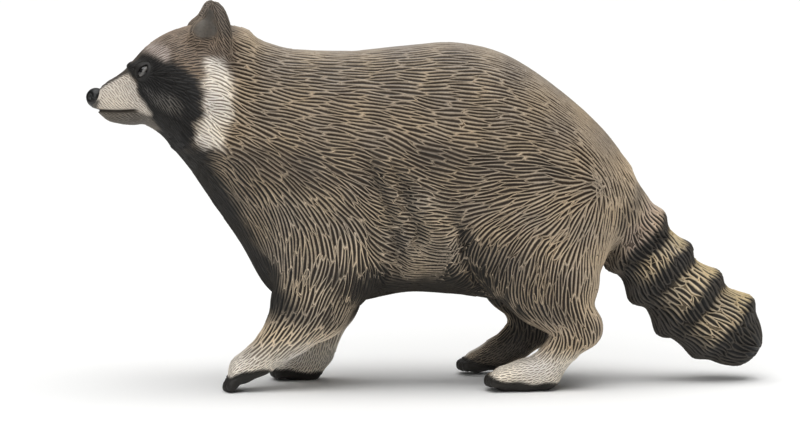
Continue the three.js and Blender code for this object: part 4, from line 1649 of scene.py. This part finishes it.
class Coat:
    """The sculpted fur: one scoop round each seed, out to halfway to its neighbours."""

    CANDIDATES = 150000
    SEED = 7
    NEIGHBOURS = 26
    PATCH = 0.003
    BATCH = 400
    SKIRT = 0.14
    FAR = 9.0
    SAME_FACE = 0.2
    LEAST_HEIGHT, MORE_HEIGHT = 0.8, 0.4
    LEAST_FLOOR, MORE_FLOOR = 0.012, 0.02
    ALONG = np.linspace(-1.3, 1.3, 25)
    ACROSS = np.linspace(-1.2, 1.2, 23)

    def __init__(self, skin: Object, form: Form) -> None:
        """Args:
            skin: The skin it lies on, in mm while the coat is laid out.
            form: The form.
        """
        self.skin = skin
        self.lie = Lie(form)
        self.rng = np.random.default_rng(self.SEED)

    def candidates(self) -> Seeds:
        """Places strewn over the skin, thicker where the scoops are small.

        Returns:
            The candidates, in random order.
        """
        mesh = self.skin.data
        mesh.calc_loop_triangles()
        tris = read(mesh.loop_triangles, "vertices", 3, np.int32)
        loops = read(mesh.loop_triangles, "loops", 3, np.int32)
        uv = read(mesh.uv_layers["OFBake"].data, "uv", 2)
        p, n = read(mesh.vertices, "co", 3), read(mesh.vertices, "normal", 3)
        a, b, c = (p[tris[:, k]] for k in range(3))
        area = 0.5 * length(np.cross(b - a, c - a))
        size = grain_at((a + b + c) / 3)
        weight = area / (size[:, 0] * size[:, 1])
        chosen = self.rng.choice(len(tris), self.CANDIDATES, p=weight / weight.sum())
        r1, r2 = np.sqrt(self.rng.random(self.CANDIDATES)), self.rng.random(self.CANDIDATES)
        share = np.stack([1 - r1, r1 * (1 - r2), r1 * r2], axis=1)[:, :, None]
        place = (p[tris[chosen]] * share).sum(axis=1)
        normal = unit((n[tris[chosen]] * share).sum(axis=1))
        spot = (uv[loops[chosen]] * share).sum(axis=1)
        furred = coated(place) > 0.5
        place, normal, spot = place[furred], normal[furred], spot[furred]
        along = self.lie.at(place, normal)
        return Seeds(place, normal, along, np.cross(normal, along), grain_at(place), spot)

    @staticmethod
    def tree_of(places: Array) -> KDTree:
        """A tree that finds the places near another.

        Args:
            places: The places, n by 3.

        Returns:
            The tree, with each place under its row's number.
        """
        tree = KDTree(len(places))
        for i, place in enumerate(places):
            tree.insert(place, i)
        tree.balance()
        return tree

    def thin(self, seeds: Seeds) -> Seeds:
        """Keeps seeds no nearer than their scoops' own ellipse.

        Args:
            seeds: The candidates.

        Returns:
            The seeds that stay.
        """
        tree = self.tree_of(seeds.place)
        alive = np.ones(len(seeds.place), dtype=bool)
        kept = []
        for i in range(len(seeds.place)):
            if not alive[i]:
                continue
            kept.append(i)
            a, b, _ = seeds.size[i]
            found = [item[1] for item in tree.find_range(seeds.place[i], a)]
            gap = seeds.place[found] - seeds.place[i]
            u, v = gap @ seeds.along[i] / a, gap @ seeds.across[i] / b
            same = seeds.normal[found] @ seeds.normal[i] > self.SAME_FACE
            alive[np.array(found)[(u * u + v * v < 1.0) & same]] = False
        return seeds.pick(np.array(kept))

    def neighbours(self, seeds: Seeds) -> Array:
        """Each seed's nearest neighbours on its own face of the skin.

        Args:
            seeds: The seeds.

        Returns:
            Row numbers, count by NEIGHBOURS, padded with -1.
        """
        tree = self.tree_of(seeds.place)
        out = np.full((len(seeds.place), self.NEIGHBOURS), -1)
        for i, (a, b, _) in enumerate(seeds.size):
            found = [item[1] for item in tree.find_range(seeds.place[i], 2.3 * a) if item[1] != i]
            gap = seeds.place[found] - seeds.place[i]
            far = (gap @ seeds.along[i] / a) ** 2 + (gap @ seeds.across[i] / b) ** 2
            far[seeds.normal[found] @ seeds.normal[i] < self.SAME_FACE] = 1e9
            order = np.argsort(far)[: self.NEIGHBOURS]
            order = order[far[order] < self.FAR]
            out[i, : len(order)] = np.array(found, dtype=int)[order]
        return out

    def cells(self, seeds: Seeds) -> "Cells":
        """Measures how far each seed's cell reaches before a neighbour is nearer.

        Args:
            seeds: The seeds.

        Returns:
            The cells.
        """
        near = self.neighbours(seeds)
        bend = self.bend(seeds)
        us, vs = self.ALONG, self.ACROSS
        grid_u, grid_v = (g.ravel() for g in np.meshgrid(us, vs, indexing="ij"))
        own = grid_u**2 + grid_v**2
        lows, highs, starts, ends = [], [], [], []
        for first in range(0, len(near), self.BATCH):
            rows = np.arange(first, min(first + self.BATCH, len(near)))
            place = self.spread(seeds, bend, rows, grid_u[None], grid_v[None])
            j = near[rows]
            along, across = seeds.along[j], seeds.across[j]
            run = np.einsum("cpk,cnk->cpn", place, along)
            run -= (seeds.place[j] * along).sum(axis=2)[:, None]
            off = np.einsum("cpk,cnk->cpn", place, across)
            off -= (seeds.place[j] * across).sum(axis=2)[:, None]
            off -= 0.5 * bend[j][:, None] * run * run
            far = (run / seeds.size[j, 0][:, None]) ** 2 + (off / seeds.size[j, 1][:, None]) ** 2
            far[np.broadcast_to((j < 0)[:, None], far.shape)] = self.FAR
            furred = 8.0 * (coated(place.reshape(-1, 3)).reshape(far.shape[:2]) - 0.4)
            win = np.minimum(np.minimum(far.min(axis=2), 1.7) - own, furred)
            win = win.reshape(len(rows), len(us), len(vs))
            for box, part in zip((lows, highs, starts, ends), Cells.trace(win, us, vs)):
                box.append(part)
        parts = [np.concatenate(box) for box in (lows, highs, starts, ends)]
        return Cells(us, *parts, bend)

    @staticmethod
    def spread(seeds: Seeds, bend: Array, rows: Array, u: Array, v: Array) -> Array:
        """Places given in the seeds' own bent, stretched frames.

        Args:
            seeds: The seeds.
            bend: Their turn in radians for each mm.
            rows: Which seeds.
            u: Along each, in half lengths, rows by places.
            v: Across each, in half widths.

        Returns:
            The places, rows by places by 3.
        """
        run = u * seeds.size[rows, 0][:, None]
        off = v * seeds.size[rows, 1][:, None] + 0.5 * bend[rows][:, None] * run * run
        return (
            seeds.place[rows][:, None]
            + run[..., None] * seeds.along[rows][:, None]
            + off[..., None] * seeds.across[rows][:, None]
        )

    def raw_mesh(
        self, name: str, seeds: Seeds, cells: "Cells", shape: LockShape, rows: Array
    ) -> Object:
        """The scoops as flat-lying strips with a lift for each vertex.

        Args:
            name: The object's name.
            seeds: All the seeds.
            cells: Their cells.
            shape: How finely they are meshed.
            rows: Which scoops go in this mesh.

        Returns:
            The object, with its lift, crest and UV stored.
        """
        u, low, high = cells.at(rows, shape.stations)
        count, long, wide = len(rows), len(shape.stations), len(shape.across)
        v = low[:, :, None] + (high - low)[:, :, None] * np.asarray(shape.across)
        u = np.broadcast_to(u[:, :, None], v.shape)
        flat = (count, long * wide)
        place = self.spread(seeds, cells.bend, rows, u.reshape(flat), v.reshape(flat))
        t = np.asarray(shape.stations)
        ends = (1.0 - ease(np.minimum(t, 1 - t) / 0.13))[None, :, None]
        crest = np.maximum(np.clip(np.asarray(shape.rise), 0, 1)[None, None], ends)
        crest = np.broadcast_to(crest, v.shape).copy()
        height = self.LEAST_HEIGHT + self.MORE_HEIGHT * self.rng.random(count)
        height = seeds.size[rows, 2] * height
        floor = self.LEAST_FLOOR + self.MORE_FLOOR * self.rng.random(count)
        lift = floor[:, None, None] + crest * height[:, None, None]
        lift[:, :, (0, -1)] = -self.SKIRT
        lift[:, (0, -1), :] = -self.SKIRT
        index = np.arange(count * long * wide).reshape(count, long, wide)
        quads = np.stack(
            [index[:, :-1, :-1], index[:, 1:, :-1], index[:, 1:, 1:], index[:, :-1, 1:]], axis=-1
        ).reshape(-1, 4)
        mesh = bpy.data.meshes.new(name)
        mesh.vertices.add(place.size // 3)
        mesh.vertices.foreach_set("co", (place * MM).ravel())
        mesh.loops.add(quads.size)
        mesh.loops.foreach_set("vertex_index", quads.ravel().astype(np.int32))
        mesh.polygons.add(len(quads))
        mesh.polygons.foreach_set("loop_start", np.arange(len(quads), dtype=np.int32) * 4)
        mesh.update(calc_edges=True)
        store(mesh, "lift", (lift * MM).ravel())
        store(mesh, "crest", crest.ravel())
        patch = seeds.uv[rows][:, None, None] + self.PATCH * 0.5 * np.stack(
            [np.clip(u / self.ALONG[-1], -1, 1), np.clip(v / self.ACROSS[-1], -1, 1)], axis=-1
        )
        layer = mesh.uv_layers.new(name="OFBake")
        layer.data.foreach_set("uv", patch.reshape(-1, 2)[quads.ravel()].ravel())
        return add_object(name, mesh)

    def bend(self, seeds: Seeds) -> Array:
        """How fast the lie turns along each scoop.

        Args:
            seeds: The seeds.

        Returns:
            The turn in radians for each mm.
        """
        step = 0.8
        ahead = self.lie.at(seeds.place + step * seeds.along, seeds.normal)
        back = self.lie.at(seeds.place - step * seeds.along, seeds.normal)
        turns = []
        for way in (ahead, back):
            sign = np.where((way * seeds.along).sum(axis=1) < 0, -1.0, 1.0)
            turns.append((way * seeds.across).sum(axis=1) * sign)
        return np.clip((turns[0] - turns[1]) / (2 * step), -0.25, 0.25)


class Drape:
    """A node tree that lays vertices on a surface, raised by their own lift."""

    INPUTS = (
        ("Geometry", "Geometry"), ("Skin", "Object"),
        ("Lift scale", "Float"), ("Material", "Material"),
    )

    def __init__(self) -> None:
        """Draws the tree: the nearest place on the skin, raised along its own grow direction."""
        self.tree = bpy.data.node_groups.new("Drape on skin", "GeometryNodeTree")
        socket = self.tree.interface.new_socket
        self.ids = {
            name: socket(name, in_out="INPUT", socket_type=f"NodeSocket{kind}").identifier
            for name, kind in self.INPUTS
        }
        socket("Geometry", in_out="OUTPUT", socket_type="NodeSocketGeometry")
        add = partial(add_node, self.tree)
        entry = add("NodeGroupInput").outputs
        skin = add("GeometryNodeObjectInfo", {"Object": entry["Skin"]}, transform_space="RELATIVE")
        here = add("GeometryNodeInputPosition")
        grow, lift = (
            add("GeometryNodeInputNamedAttribute", {"Name": name}, data_type=kind)
            for name, kind in (("grow", "FLOAT_VECTOR"), ("lift", "FLOAT"))
        )
        place, way = (
            add(
                "GeometryNodeSampleNearestSurface",
                {"Mesh": skin.outputs["Geometry"], "Value": value, "Sample Position": here},
                data_type="FLOAT_VECTOR",
            )
            for value in (here, grow)
        )
        way = add("ShaderNodeVectorMath", {0: way}, operation="NORMALIZE")
        height = add("ShaderNodeMath", {0: lift, 1: entry["Lift scale"]}, operation="MULTIPLY")
        rise = add("ShaderNodeVectorMath", {0: way, "Scale": height}, operation="SCALE")
        spot = add("ShaderNodeVectorMath", {0: place, 1: rise}, operation="ADD")
        laid = add("GeometryNodeSetPosition", {"Geometry": entry["Geometry"], "Position": spot})
        real = add("GeometryNodeRealizeInstances", {"Geometry": laid})
        done = add("GeometryNodeSetMaterial", {"Geometry": real, "Material": entry["Material"]})
        add("NodeGroupOutput", {0: done})

    def lay(
        self, item: Object, skin: Object, material: Material
    ) -> None:
        """Drapes an object on the skin and keeps the plain result.

        Args:
            item: The object to drape.
            skin: The skin.
            material: The material it ends with.
        """
        modifier = item.modifiers.new("Drape on skin", "NODES")
        modifier.node_group = self.tree
        modifier[self.ids["Skin"]] = skin
        modifier[self.ids["Lift scale"]] = 1.0
        modifier[self.ids["Material"]] = material
        graph = bpy.context.evaluated_depsgraph_get()
        flat = bpy.data.meshes.new_from_object(item.evaluated_get(graph), depsgraph=graph)
        item.modifiers.remove(modifier)
        old, item.data = item.data, flat
        bpy.data.meshes.remove(old)


# ---- materials


@dataclass(frozen=True)
class Surface:
    """A finish that makes its own material."""

    name: str

    def start(self) -> tuple[Material, Callable[..., bpy.types.Node]]:
        """Returns:
            An empty material, and what adds a node to it.
        """
        material = bpy.data.materials.new(self.name)
        material.use_nodes = True
        material.node_tree.nodes.clear()
        return material, partial(add_node, material.node_tree)


@dataclass(frozen=True)
class BrushedVinyl(Surface):
    """Moulded vinyl, sprayed with a dark acrylic undercoat and dry-brushed on its ridges."""

    # Satin, nearly matt: dark grooves, and pale broken streaks where the brush met a ridge.
    roughness: float = 0.58
    ior: float = 1.47
    sheen: float = 0.32
    grit_mm: float = 0.22
    patch_mm: float = 2.4

    def build(self) -> Material:
        """Returns:
            The material, which reads the undercoat, drybrush and crest attributes.
        """
        material, add = self.start()
        under = add("ShaderNodeAttribute", attribute_name="undercoat").outputs["Color"]
        brush = add("ShaderNodeAttribute", attribute_name="drybrush").outputs["Color"]
        crest = add("ShaderNodeAttribute", attribute_name="crest").outputs["Fac"]
        place = add("ShaderNodeTexCoord").outputs["Object"]
        grit, broad = (
            add(
                "ShaderNodeTexNoise",
                {"Vector": place, "Scale": 1.0 / (size * MM), "Detail": detail},
            ).outputs["Fac"]
            for size, detail in ((self.grit_mm, 2.0), (self.patch_mm, 1.0))
        )
        worn = add("ShaderNodeMath", {0: grit, 1: 0.34, 2: crest}, operation="MULTIPLY_ADD")
        worn = add("ShaderNodeMath", {0: broad, 1: 0.3, 2: worn}, operation="MULTIPLY_ADD")
        share = add(
            "ShaderNodeMapRange",
            {"Value": worn, "From Min": 0.5, "From Max": 1.34, "To Min": 0.0, "To Max": 1.0},
            interpolation_type="SMOOTHSTEP",
        ).outputs["Result"]
        colour = add("ShaderNodeMix", {"Factor": share, 6: under, 7: brush}, data_type="RGBA")
        bump = add("ShaderNodeBump", {"Height": grit, "Strength": 0.25, "Distance": 0.03 * MM})
        shader = add(
            "ShaderNodeBsdfPrincipled",
            {
                "Base Color": colour.outputs[2],
                "Roughness": self.roughness,
                "IOR": self.ior,
                "Specular IOR Level": self.sheen,
                "Normal": bump,
            },
        )
        add("ShaderNodeOutputMaterial", {"Surface": shader})
        return material


@dataclass(frozen=True)
class GlossPaint(Surface):
    """A hard gloss enamel over moulded vinyl, in the tint its drybrush attribute gives."""

    # Wet-looking black with small sharp highlights, a little wavy as brushed enamel is.
    roughness: float = 0.2
    coat: float = 0.3
    sheen: float = 0.4
    ior: float = 1.5
    grit_mm: float = 0.16

    def build(self) -> Material:
        """Returns:
            The material.
        """
        material, add = self.start()
        tint = add("ShaderNodeAttribute", attribute_name="drybrush").outputs["Color"]
        place = add("ShaderNodeTexCoord").outputs["Object"]
        grit = add(
            "ShaderNodeTexNoise",
            {"Vector": place, "Scale": 1.0 / (self.grit_mm * MM), "Detail": 2.0},
        ).outputs["Fac"]
        bump = add("ShaderNodeBump", {"Height": grit, "Strength": 0.12, "Distance": 0.02 * MM})
        shader = add(
            "ShaderNodeBsdfPrincipled",
            {
                "Base Color": tint,
                "Roughness": self.roughness,
                "IOR": self.ior,
                "Coat Weight": self.coat,
                "Specular IOR Level": self.sheen,
                "Normal": bump,
            },
        )
        add("ShaderNodeOutputMaterial", {"Surface": shader})
        return material


@dataclass(frozen=True)
class StudioPaper(Surface):
    """Matt white background paper."""

    # An even white that takes a soft shadow and has no shine.
    name: str = "white_studio_paper"
    tint: int = 0xFAFAF9
    roughness: float = 0.9

    def build(self) -> Material:
        """Returns:
            The material.
        """
        material, add = self.start()
        shader = add(
            "ShaderNodeBsdfPrincipled",
            {"Base Color": (*linear(self.tint), 1.0), "Roughness": self.roughness},
        )
        add("ShaderNodeOutputMaterial", {"Surface": shader})
        return material


# ---- the model


ATTRIBUTES = {1: ("FLOAT", "value"), 3: ("FLOAT_VECTOR", "vector"), 4: ("FLOAT_COLOR", "color")}


def store(mesh: Mesh, name: str, values: Array) -> None:
    """Stores a number, or a row of three or four, for each vertex."""
    kind, key = ATTRIBUTES[values.size // len(values)]
    mesh.attributes.new(name, kind, "POINT").data.foreach_set(key, values.ravel())


def opaque(colour: Array) -> Array:
    """Colours with a full alpha beside them."""
    return np.concatenate([colour, np.ones((len(colour), 1))], axis=1)


class Ball3D:
    """A small painted ball such as an eye or the nose, drawn as a grid of rings."""

    RINGS = 48
    SEGMENTS = 64

    def __init__(self, name: str) -> None:
        """Takes the object's name."""
        self.name = name

    def directions(self) -> tuple[Array, list[tuple[int, ...]]]:
        """Returns:
            Unit directions, n by 3, and the faces between them.
        """
        rows = []
        for i in range(1, self.RINGS):
            lat = math.pi * i / self.RINGS
            turn = 2 * math.pi * np.arange(self.SEGMENTS) / self.SEGMENTS
            ring = [np.sin(lat) * np.cos(turn), np.sin(lat) * np.sin(turn)]
            rows.append(np.stack([*ring, np.full(self.SEGMENTS, math.cos(lat))], axis=1))
        points = np.concatenate([*rows, [[0, 0, 1.0]], [[0, 0, -1.0]]])
        faces: list[tuple[int, ...]] = []
        n = self.SEGMENTS
        for i in range(self.RINGS - 2):
            for j in range(n):
                k = (j + 1) % n
                faces.append((i * n + j, (i + 1) * n + j, (i + 1) * n + k, i * n + k))
        top, bottom = len(points) - 2, len(points) - 1
        last = (self.RINGS - 2) * n
        for j in range(n):
            k = (j + 1) % n
            faces.append((top, j, k))
            faces.append((bottom, last + k, last + j))
        return points, faces

    def make(self, points: Array, faces: Sequence, tint: Array) -> Object:
        """Makes the object with its paint.

        Args:
            points: Vertices in mm, n by 3.
            faces: The faces.
            tint: The paint at each vertex, linear.

        Returns:
            The object.
        """
        mesh = bpy.data.meshes.new(self.name)
        mesh.from_pydata((points * MM).tolist(), [], faces)
        mesh.shade_smooth()
        store(mesh, "drybrush", opaque(tint))
        return add_object(self.name, mesh)


class Eye(Ball3D):
    """One painted eyeball: near-black, with a painted highlight in grey on its outer side."""

    GREY = 0x5A5754
    BLACK = 0x100F0F

    def build(self, side: Side, size: HeadSizes) -> Object:
        """Args:
            side: Which eye.
            size: The head's sizes.

        Returns:
            The eye.
        """
        way, faces = self.directions()
        ball = way * size.eye_radius
        # Painted highlight: a slanted grey sliver on the eye's outer side.
        painted_highlight = ease((0.17 - np.abs(size.across_eye(ball))) / 0.08)
        painted_highlight = (painted_highlight * ease(side.value * way[:, 1] / 0.3))[:, None]
        tint = mix(linear(self.BLACK), linear(self.GREY), painted_highlight)
        return self.make(at(size.eye, side) + ball, faces, tint)


class Nose(Ball3D):
    """The moulded nose pad with two comma nostrils and a cleft, in gloss black."""

    BLACK = 0x121110
    WORN = 0x3C3937
    # The hole and its comma tail: place, stretch, depth and width, in shares of the nose.
    NOSTRIL = (
        ((-0.7, 0.66, 0.12), (1.0, 1.0, 1.25), 0.42, 0.27),
        ((-0.42, 0.9, -0.12), (1.3, 1.0, 0.6), 0.22, 0.24),
    )

    def build(self, size: HeadSizes) -> Object:
        """Args:
            size: The head's sizes.

        Returns:
            The nose.
        """
        way, faces = self.directions()
        half = np.array(size.nose_half)
        dent = np.zeros(len(way))
        for side in Side:
            for place, stretch, depth, width in self.NOSTRIL:
                hole = at(place, side)
                gap = (way - hole / np.linalg.norm(hole)) / np.array(stretch)
                dent += depth * bell(length(gap), width)
        cleft = bell(way[:, 1], 0.09) * below(way[:, 2], 0.15, 0.5)
        dent += 0.14 * cleft * (way[:, 0] < 0)
        points = np.array(size.nose) + way * half * (1.0 - dent[:, None])
        # A lighter grey on the lower sides of the pad.
        rim = ease((np.abs(way[:, 1]) - 0.5) / 0.4) * below(way[:, 2], 0.1, 0.4) * 0.5
        tint = mix(linear(self.BLACK), linear(self.WORN), rim[:, None])
        return self.make(points, faces, tint)


FLESH = (
    "head", "ear_left", "ear_right", "neck", "trunk", "tail",
    "foreleg_left", "foreleg_right", "forepaw_left", "forepaw_right",
    "hindleg_left", "hindleg_right", "hindfoot_left", "hindfoot_right",
)


class Raccoon:
    """The whole figure: skin, coat, eyes and nose."""

    SLOTS = {
        "head": "painted_vinyl_head",
        "paws": "painted_vinyl_paw",
        "tail": "painted_vinyl_tail",
    }
    PIECE_TRIANGLES = 190000
    TUCK = 0.1

    def __init__(self) -> None:
        """Prepares the form and the paints."""
        self.form = Form()
        self.markings = Markings(self.form)
        self.vinyl = {
            name: BrushedVinyl(f"dry_brushed_vinyl_{name}").build()
            for name in ("body", "head", "paws", "tail")
        }

    def build(self) -> None:
        """Builds every piece and puts each on the root body."""
        skin = Skin(Relief(self.form).field).build()
        coat = self.build_coat(skin)
        self.tuck(skin)
        self.paint(skin)
        skin.data.materials.append(self.vinyl["body"])
        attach(skin, "root")
        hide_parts(*FLESH)
        for item, region in coat:
            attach(item, "root")
        gloss = GlossPaint("gloss_enamel_eye", 0.16).build()
        for side in Side:
            name = side.name.lower()
            eye = Eye(f"eye_{name}_ball").build(side, self.form.size)
            eye.data.materials.append(gloss)
            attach(eye, "root")
            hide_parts(f"eye_{name}")
            log.info("%s: %d faces", eye.name, len(eye.data.polygons))
        nose = Nose("nose_pad").build(self.form.size)
        nose.data.materials.append(GlossPaint("gloss_enamel_nose", 0.36, 0.08, 0.3).build())
        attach(nose, "root")
        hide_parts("nose")
        log.info("%s: %d faces", nose.name, len(nose.data.polygons))

    def tuck(self, skin: Object) -> None:
        """Draws the skin in a little below the coat, so that no scoop's floor dips into it.

        Args:
            skin: The skin, in metres, with the coat already laid on it.
        """
        p, n = read(skin.data.vertices, "co", 3), read(skin.data.vertices, "normal", 3)
        p -= n * (self.TUCK * MM * coated(p / MM) * ease(p[:, 2] / MM / 1.2 + 0.05))[:, None]
        move_vertices(skin.data, p)

    def paint(self, item: Object) -> None:
        """Stores the two paints, and a crest where the fur left none.

        Args:
            item: The object, whose mesh is in metres.
        """
        mesh = item.data
        p, n = read(mesh.vertices, "co", 3) / MM, read(mesh.vertices, "normal", 3)
        under, brush = self.markings.colours(p, n)
        store(mesh, "undercoat", opaque(under))
        store(mesh, "drybrush", opaque(brush))
        crest = mesh.attributes.get("crest")
        if crest is not None:
            value = read(crest.data, "value", 1)[:, 0]
            value += 0.3 * self.markings.creamy(p) * ease(value / 0.3)
            crest.data.foreach_set("value", value)
        else:
            store(mesh, "crest", 0.62 - 0.2 * coated(p))

    def build_coat(self, skin: Object) -> list[tuple[Object, str]]:
        """Lays the coat on the skin, which is in mm before and in metres after.

        Args:
            skin: The skin.

        Returns:
            Each piece with its region.
        """
        coat = Coat(skin, self.form)
        seeds = coat.thin(coat.candidates())
        log.info("coat: %d scoops", len(seeds.place))
        cells = coat.cells(seeds)
        store(skin.data, "grow", read(skin.data.vertices, "normal", 3))
        skin.data.transform(Matrix.Scale(MM, 4))
        skin.data.update()
        drape = Drape()
        out = []
        for region, keep, shape in self.regions(seeds):
            rows = np.flatnonzero(keep)
            tris = 2 * (len(shape.stations) - 1) * (len(shape.across) - 1)
            parts = math.ceil(len(rows) * tris / self.PIECE_TRIANGLES)
            order = rows[np.argsort(seeds.place[rows, 0])]
            for k, part in enumerate(np.array_split(order, parts)):
                name = f"coat_{region}_{k + 1}" if parts > 1 else f"coat_{region}"
                item = coat.raw_mesh(name, seeds, cells, shape, part)
                drape.lay(item, skin, self.vinyl[region.split("_")[0]])
                self.stand(item)
                self.paint(item)
                out.append((item, region.split("_")[0]))
                log.info("%s: %d scoops, %d faces", name, len(part), len(item.data.polygons))
        return out

    @staticmethod
    def stand(item: Object) -> None:
        """Smooths a piece and flattens what would reach below the floor.

        Args:
            item: The piece, in metres.
        """
        p = read(item.data.vertices, "co", 3)
        p[:, 2] = np.maximum(p[:, 2], 0.0)
        move_vertices(item.data, p)
        item.data.shade_smooth()

    @staticmethod
    def regions(seeds: Seeds) -> list[tuple[str, Array, LockShape]]:
        """Splits the scoops by region.

        Args:
            seeds: The scoops.

        Returns:
            Each region's name, rows and shape.
        """
        x, y, z = seeds.place.T
        small = seeds.size[:, 0] < 1.35
        head = (x < -23.0) & (z > 22.0)
        tail = (x > 22.0) & ~head
        paws = (z < 4.2) & ~tail
        body = ~(head | tail | paws)
        return [
            ("head_fine", head & small, SHORT_LOCK),
            ("head", head & ~small, LONG_LOCK),
            ("body_left", body & (y < 0), LONG_LOCK),
            ("body_right", body & (y >= 0), LONG_LOCK),
            ("paws", paws, SHORT_LOCK),
            ("tail", tail, BROAD_LOCK),
        ]


class Studio:
    """White paper, soft lights from above and the camera at the figure's side."""

    TARGET = (-3.2, 0.0, 19.04)
    AZIMUTH = -6.0
    ELEVATION = 4.3
    DISTANCE = 400.0
    LENS = 162.5
    SKY = (0.04, 0.17)
    # Each light's name, azimuth, elevation and width in degrees, and its power.
    LIGHTS = (
        ("overhead silk", 0.0, 86.0, 62.0, 2.05),
        ("high front silk", -14.0, 60.0, 50.0, 0.6),
        ("high back silk", 180.0, 58.0, 60.0, 0.35),
        ("front silk", -20.0, 24.0, 40.0, 0.85),
    )

    def build(self) -> None:
        """Builds the floor, the lights and the camera."""
        self.floor()
        for row in self.LIGHTS:
            self.light(*row)
        self.world()
        self.camera()

    def floor(self) -> None:
        """A wide sheet of paper under the figure."""
        mesh = bpy.data.meshes.new("floor")
        wide = 6.0
        corners = [(-wide, -wide, 0), (wide, -wide, 0), (wide, wide, 0), (-wide, wide, 0)]
        mesh.from_pydata(corners, [], [(0, 1, 2, 3)])
        mesh.materials.append(StudioPaper().build())
        floor = add_object("floor", mesh)

    def light(
        self, name: str, azimuth: float, elevation: float, angle: float, power: float
    ) -> None:
        """Adds a very wide, distant soft light.

        Args:
            name: Its name.
            azimuth: Where it comes from, in degrees round the figure.
            elevation: Its height above the horizon in degrees.
            angle: Its width in degrees.
            power: Its strength in watts a square metre.
        """
        data = bpy.data.lights.new(name, "SUN")
        data.angle = math.radians(angle)
        data.energy = power
        item = add_object(name, data)
        item.rotation_euler = self.ahead(azimuth, elevation).to_track_quat("-Z", "Y").to_euler()

    @staticmethod
    def ahead(azimuth: float, elevation: float) -> Vector:
        """The direction from a place round the figure, given in degrees, to the figure."""
        a, e = math.radians(azimuth), math.radians(elevation)
        return Vector((-math.sin(a) * math.cos(e), math.cos(a) * math.cos(e), -math.sin(e)))

    def world(self) -> None:
        """A surround that is brighter overhead than at the horizon."""
        world = bpy.data.worlds.new("studio surround")
        world.use_nodes = True
        add = partial(add_node, world.node_tree)
        way = add("ShaderNodeTexCoord").outputs["Generated"]
        height = add("ShaderNodeSeparateXYZ", {0: way}).outputs["Z"]
        low, high = self.SKY
        ramp = add("ShaderNodeMapRange", {"Value": height, "To Min": low, "To Max": high})
        shade = world.node_tree.nodes["Background"]
        shade.inputs["Color"].default_value = (1.0, 1.0, 1.0, 1.0)
        world.node_tree.links.new(ramp.outputs["Result"], shade.inputs["Strength"])
        bpy.context.scene.world = world

    def camera(self) -> None:
        """A long lens a little above the floor, on the figure's left."""
        data = bpy.data.cameras.new("camera")
        data.lens = self.LENS
        data.sensor_width = 36.0
        data.clip_start = 0.01
        data.clip_end = 50.0
        ahead = self.ahead(self.AZIMUTH, self.ELEVATION)
        item = add_object("camera", data)
        item.location = (Vector(self.TARGET) - ahead * self.DISTANCE) * MM
        item.rotation_euler = ahead.to_track_quat("-Z", "Y").to_euler()
        bpy.context.scene.camera = item


def main() -> None:
    """Builds the scene."""
    scene = bpy.context.scene
    scene.unit_settings.system = "METRIC"
    scene.view_settings.view_transform = "Standard"
    Raccoon().build()
    Studio().build()


if __name__ == "__main__":
    main()
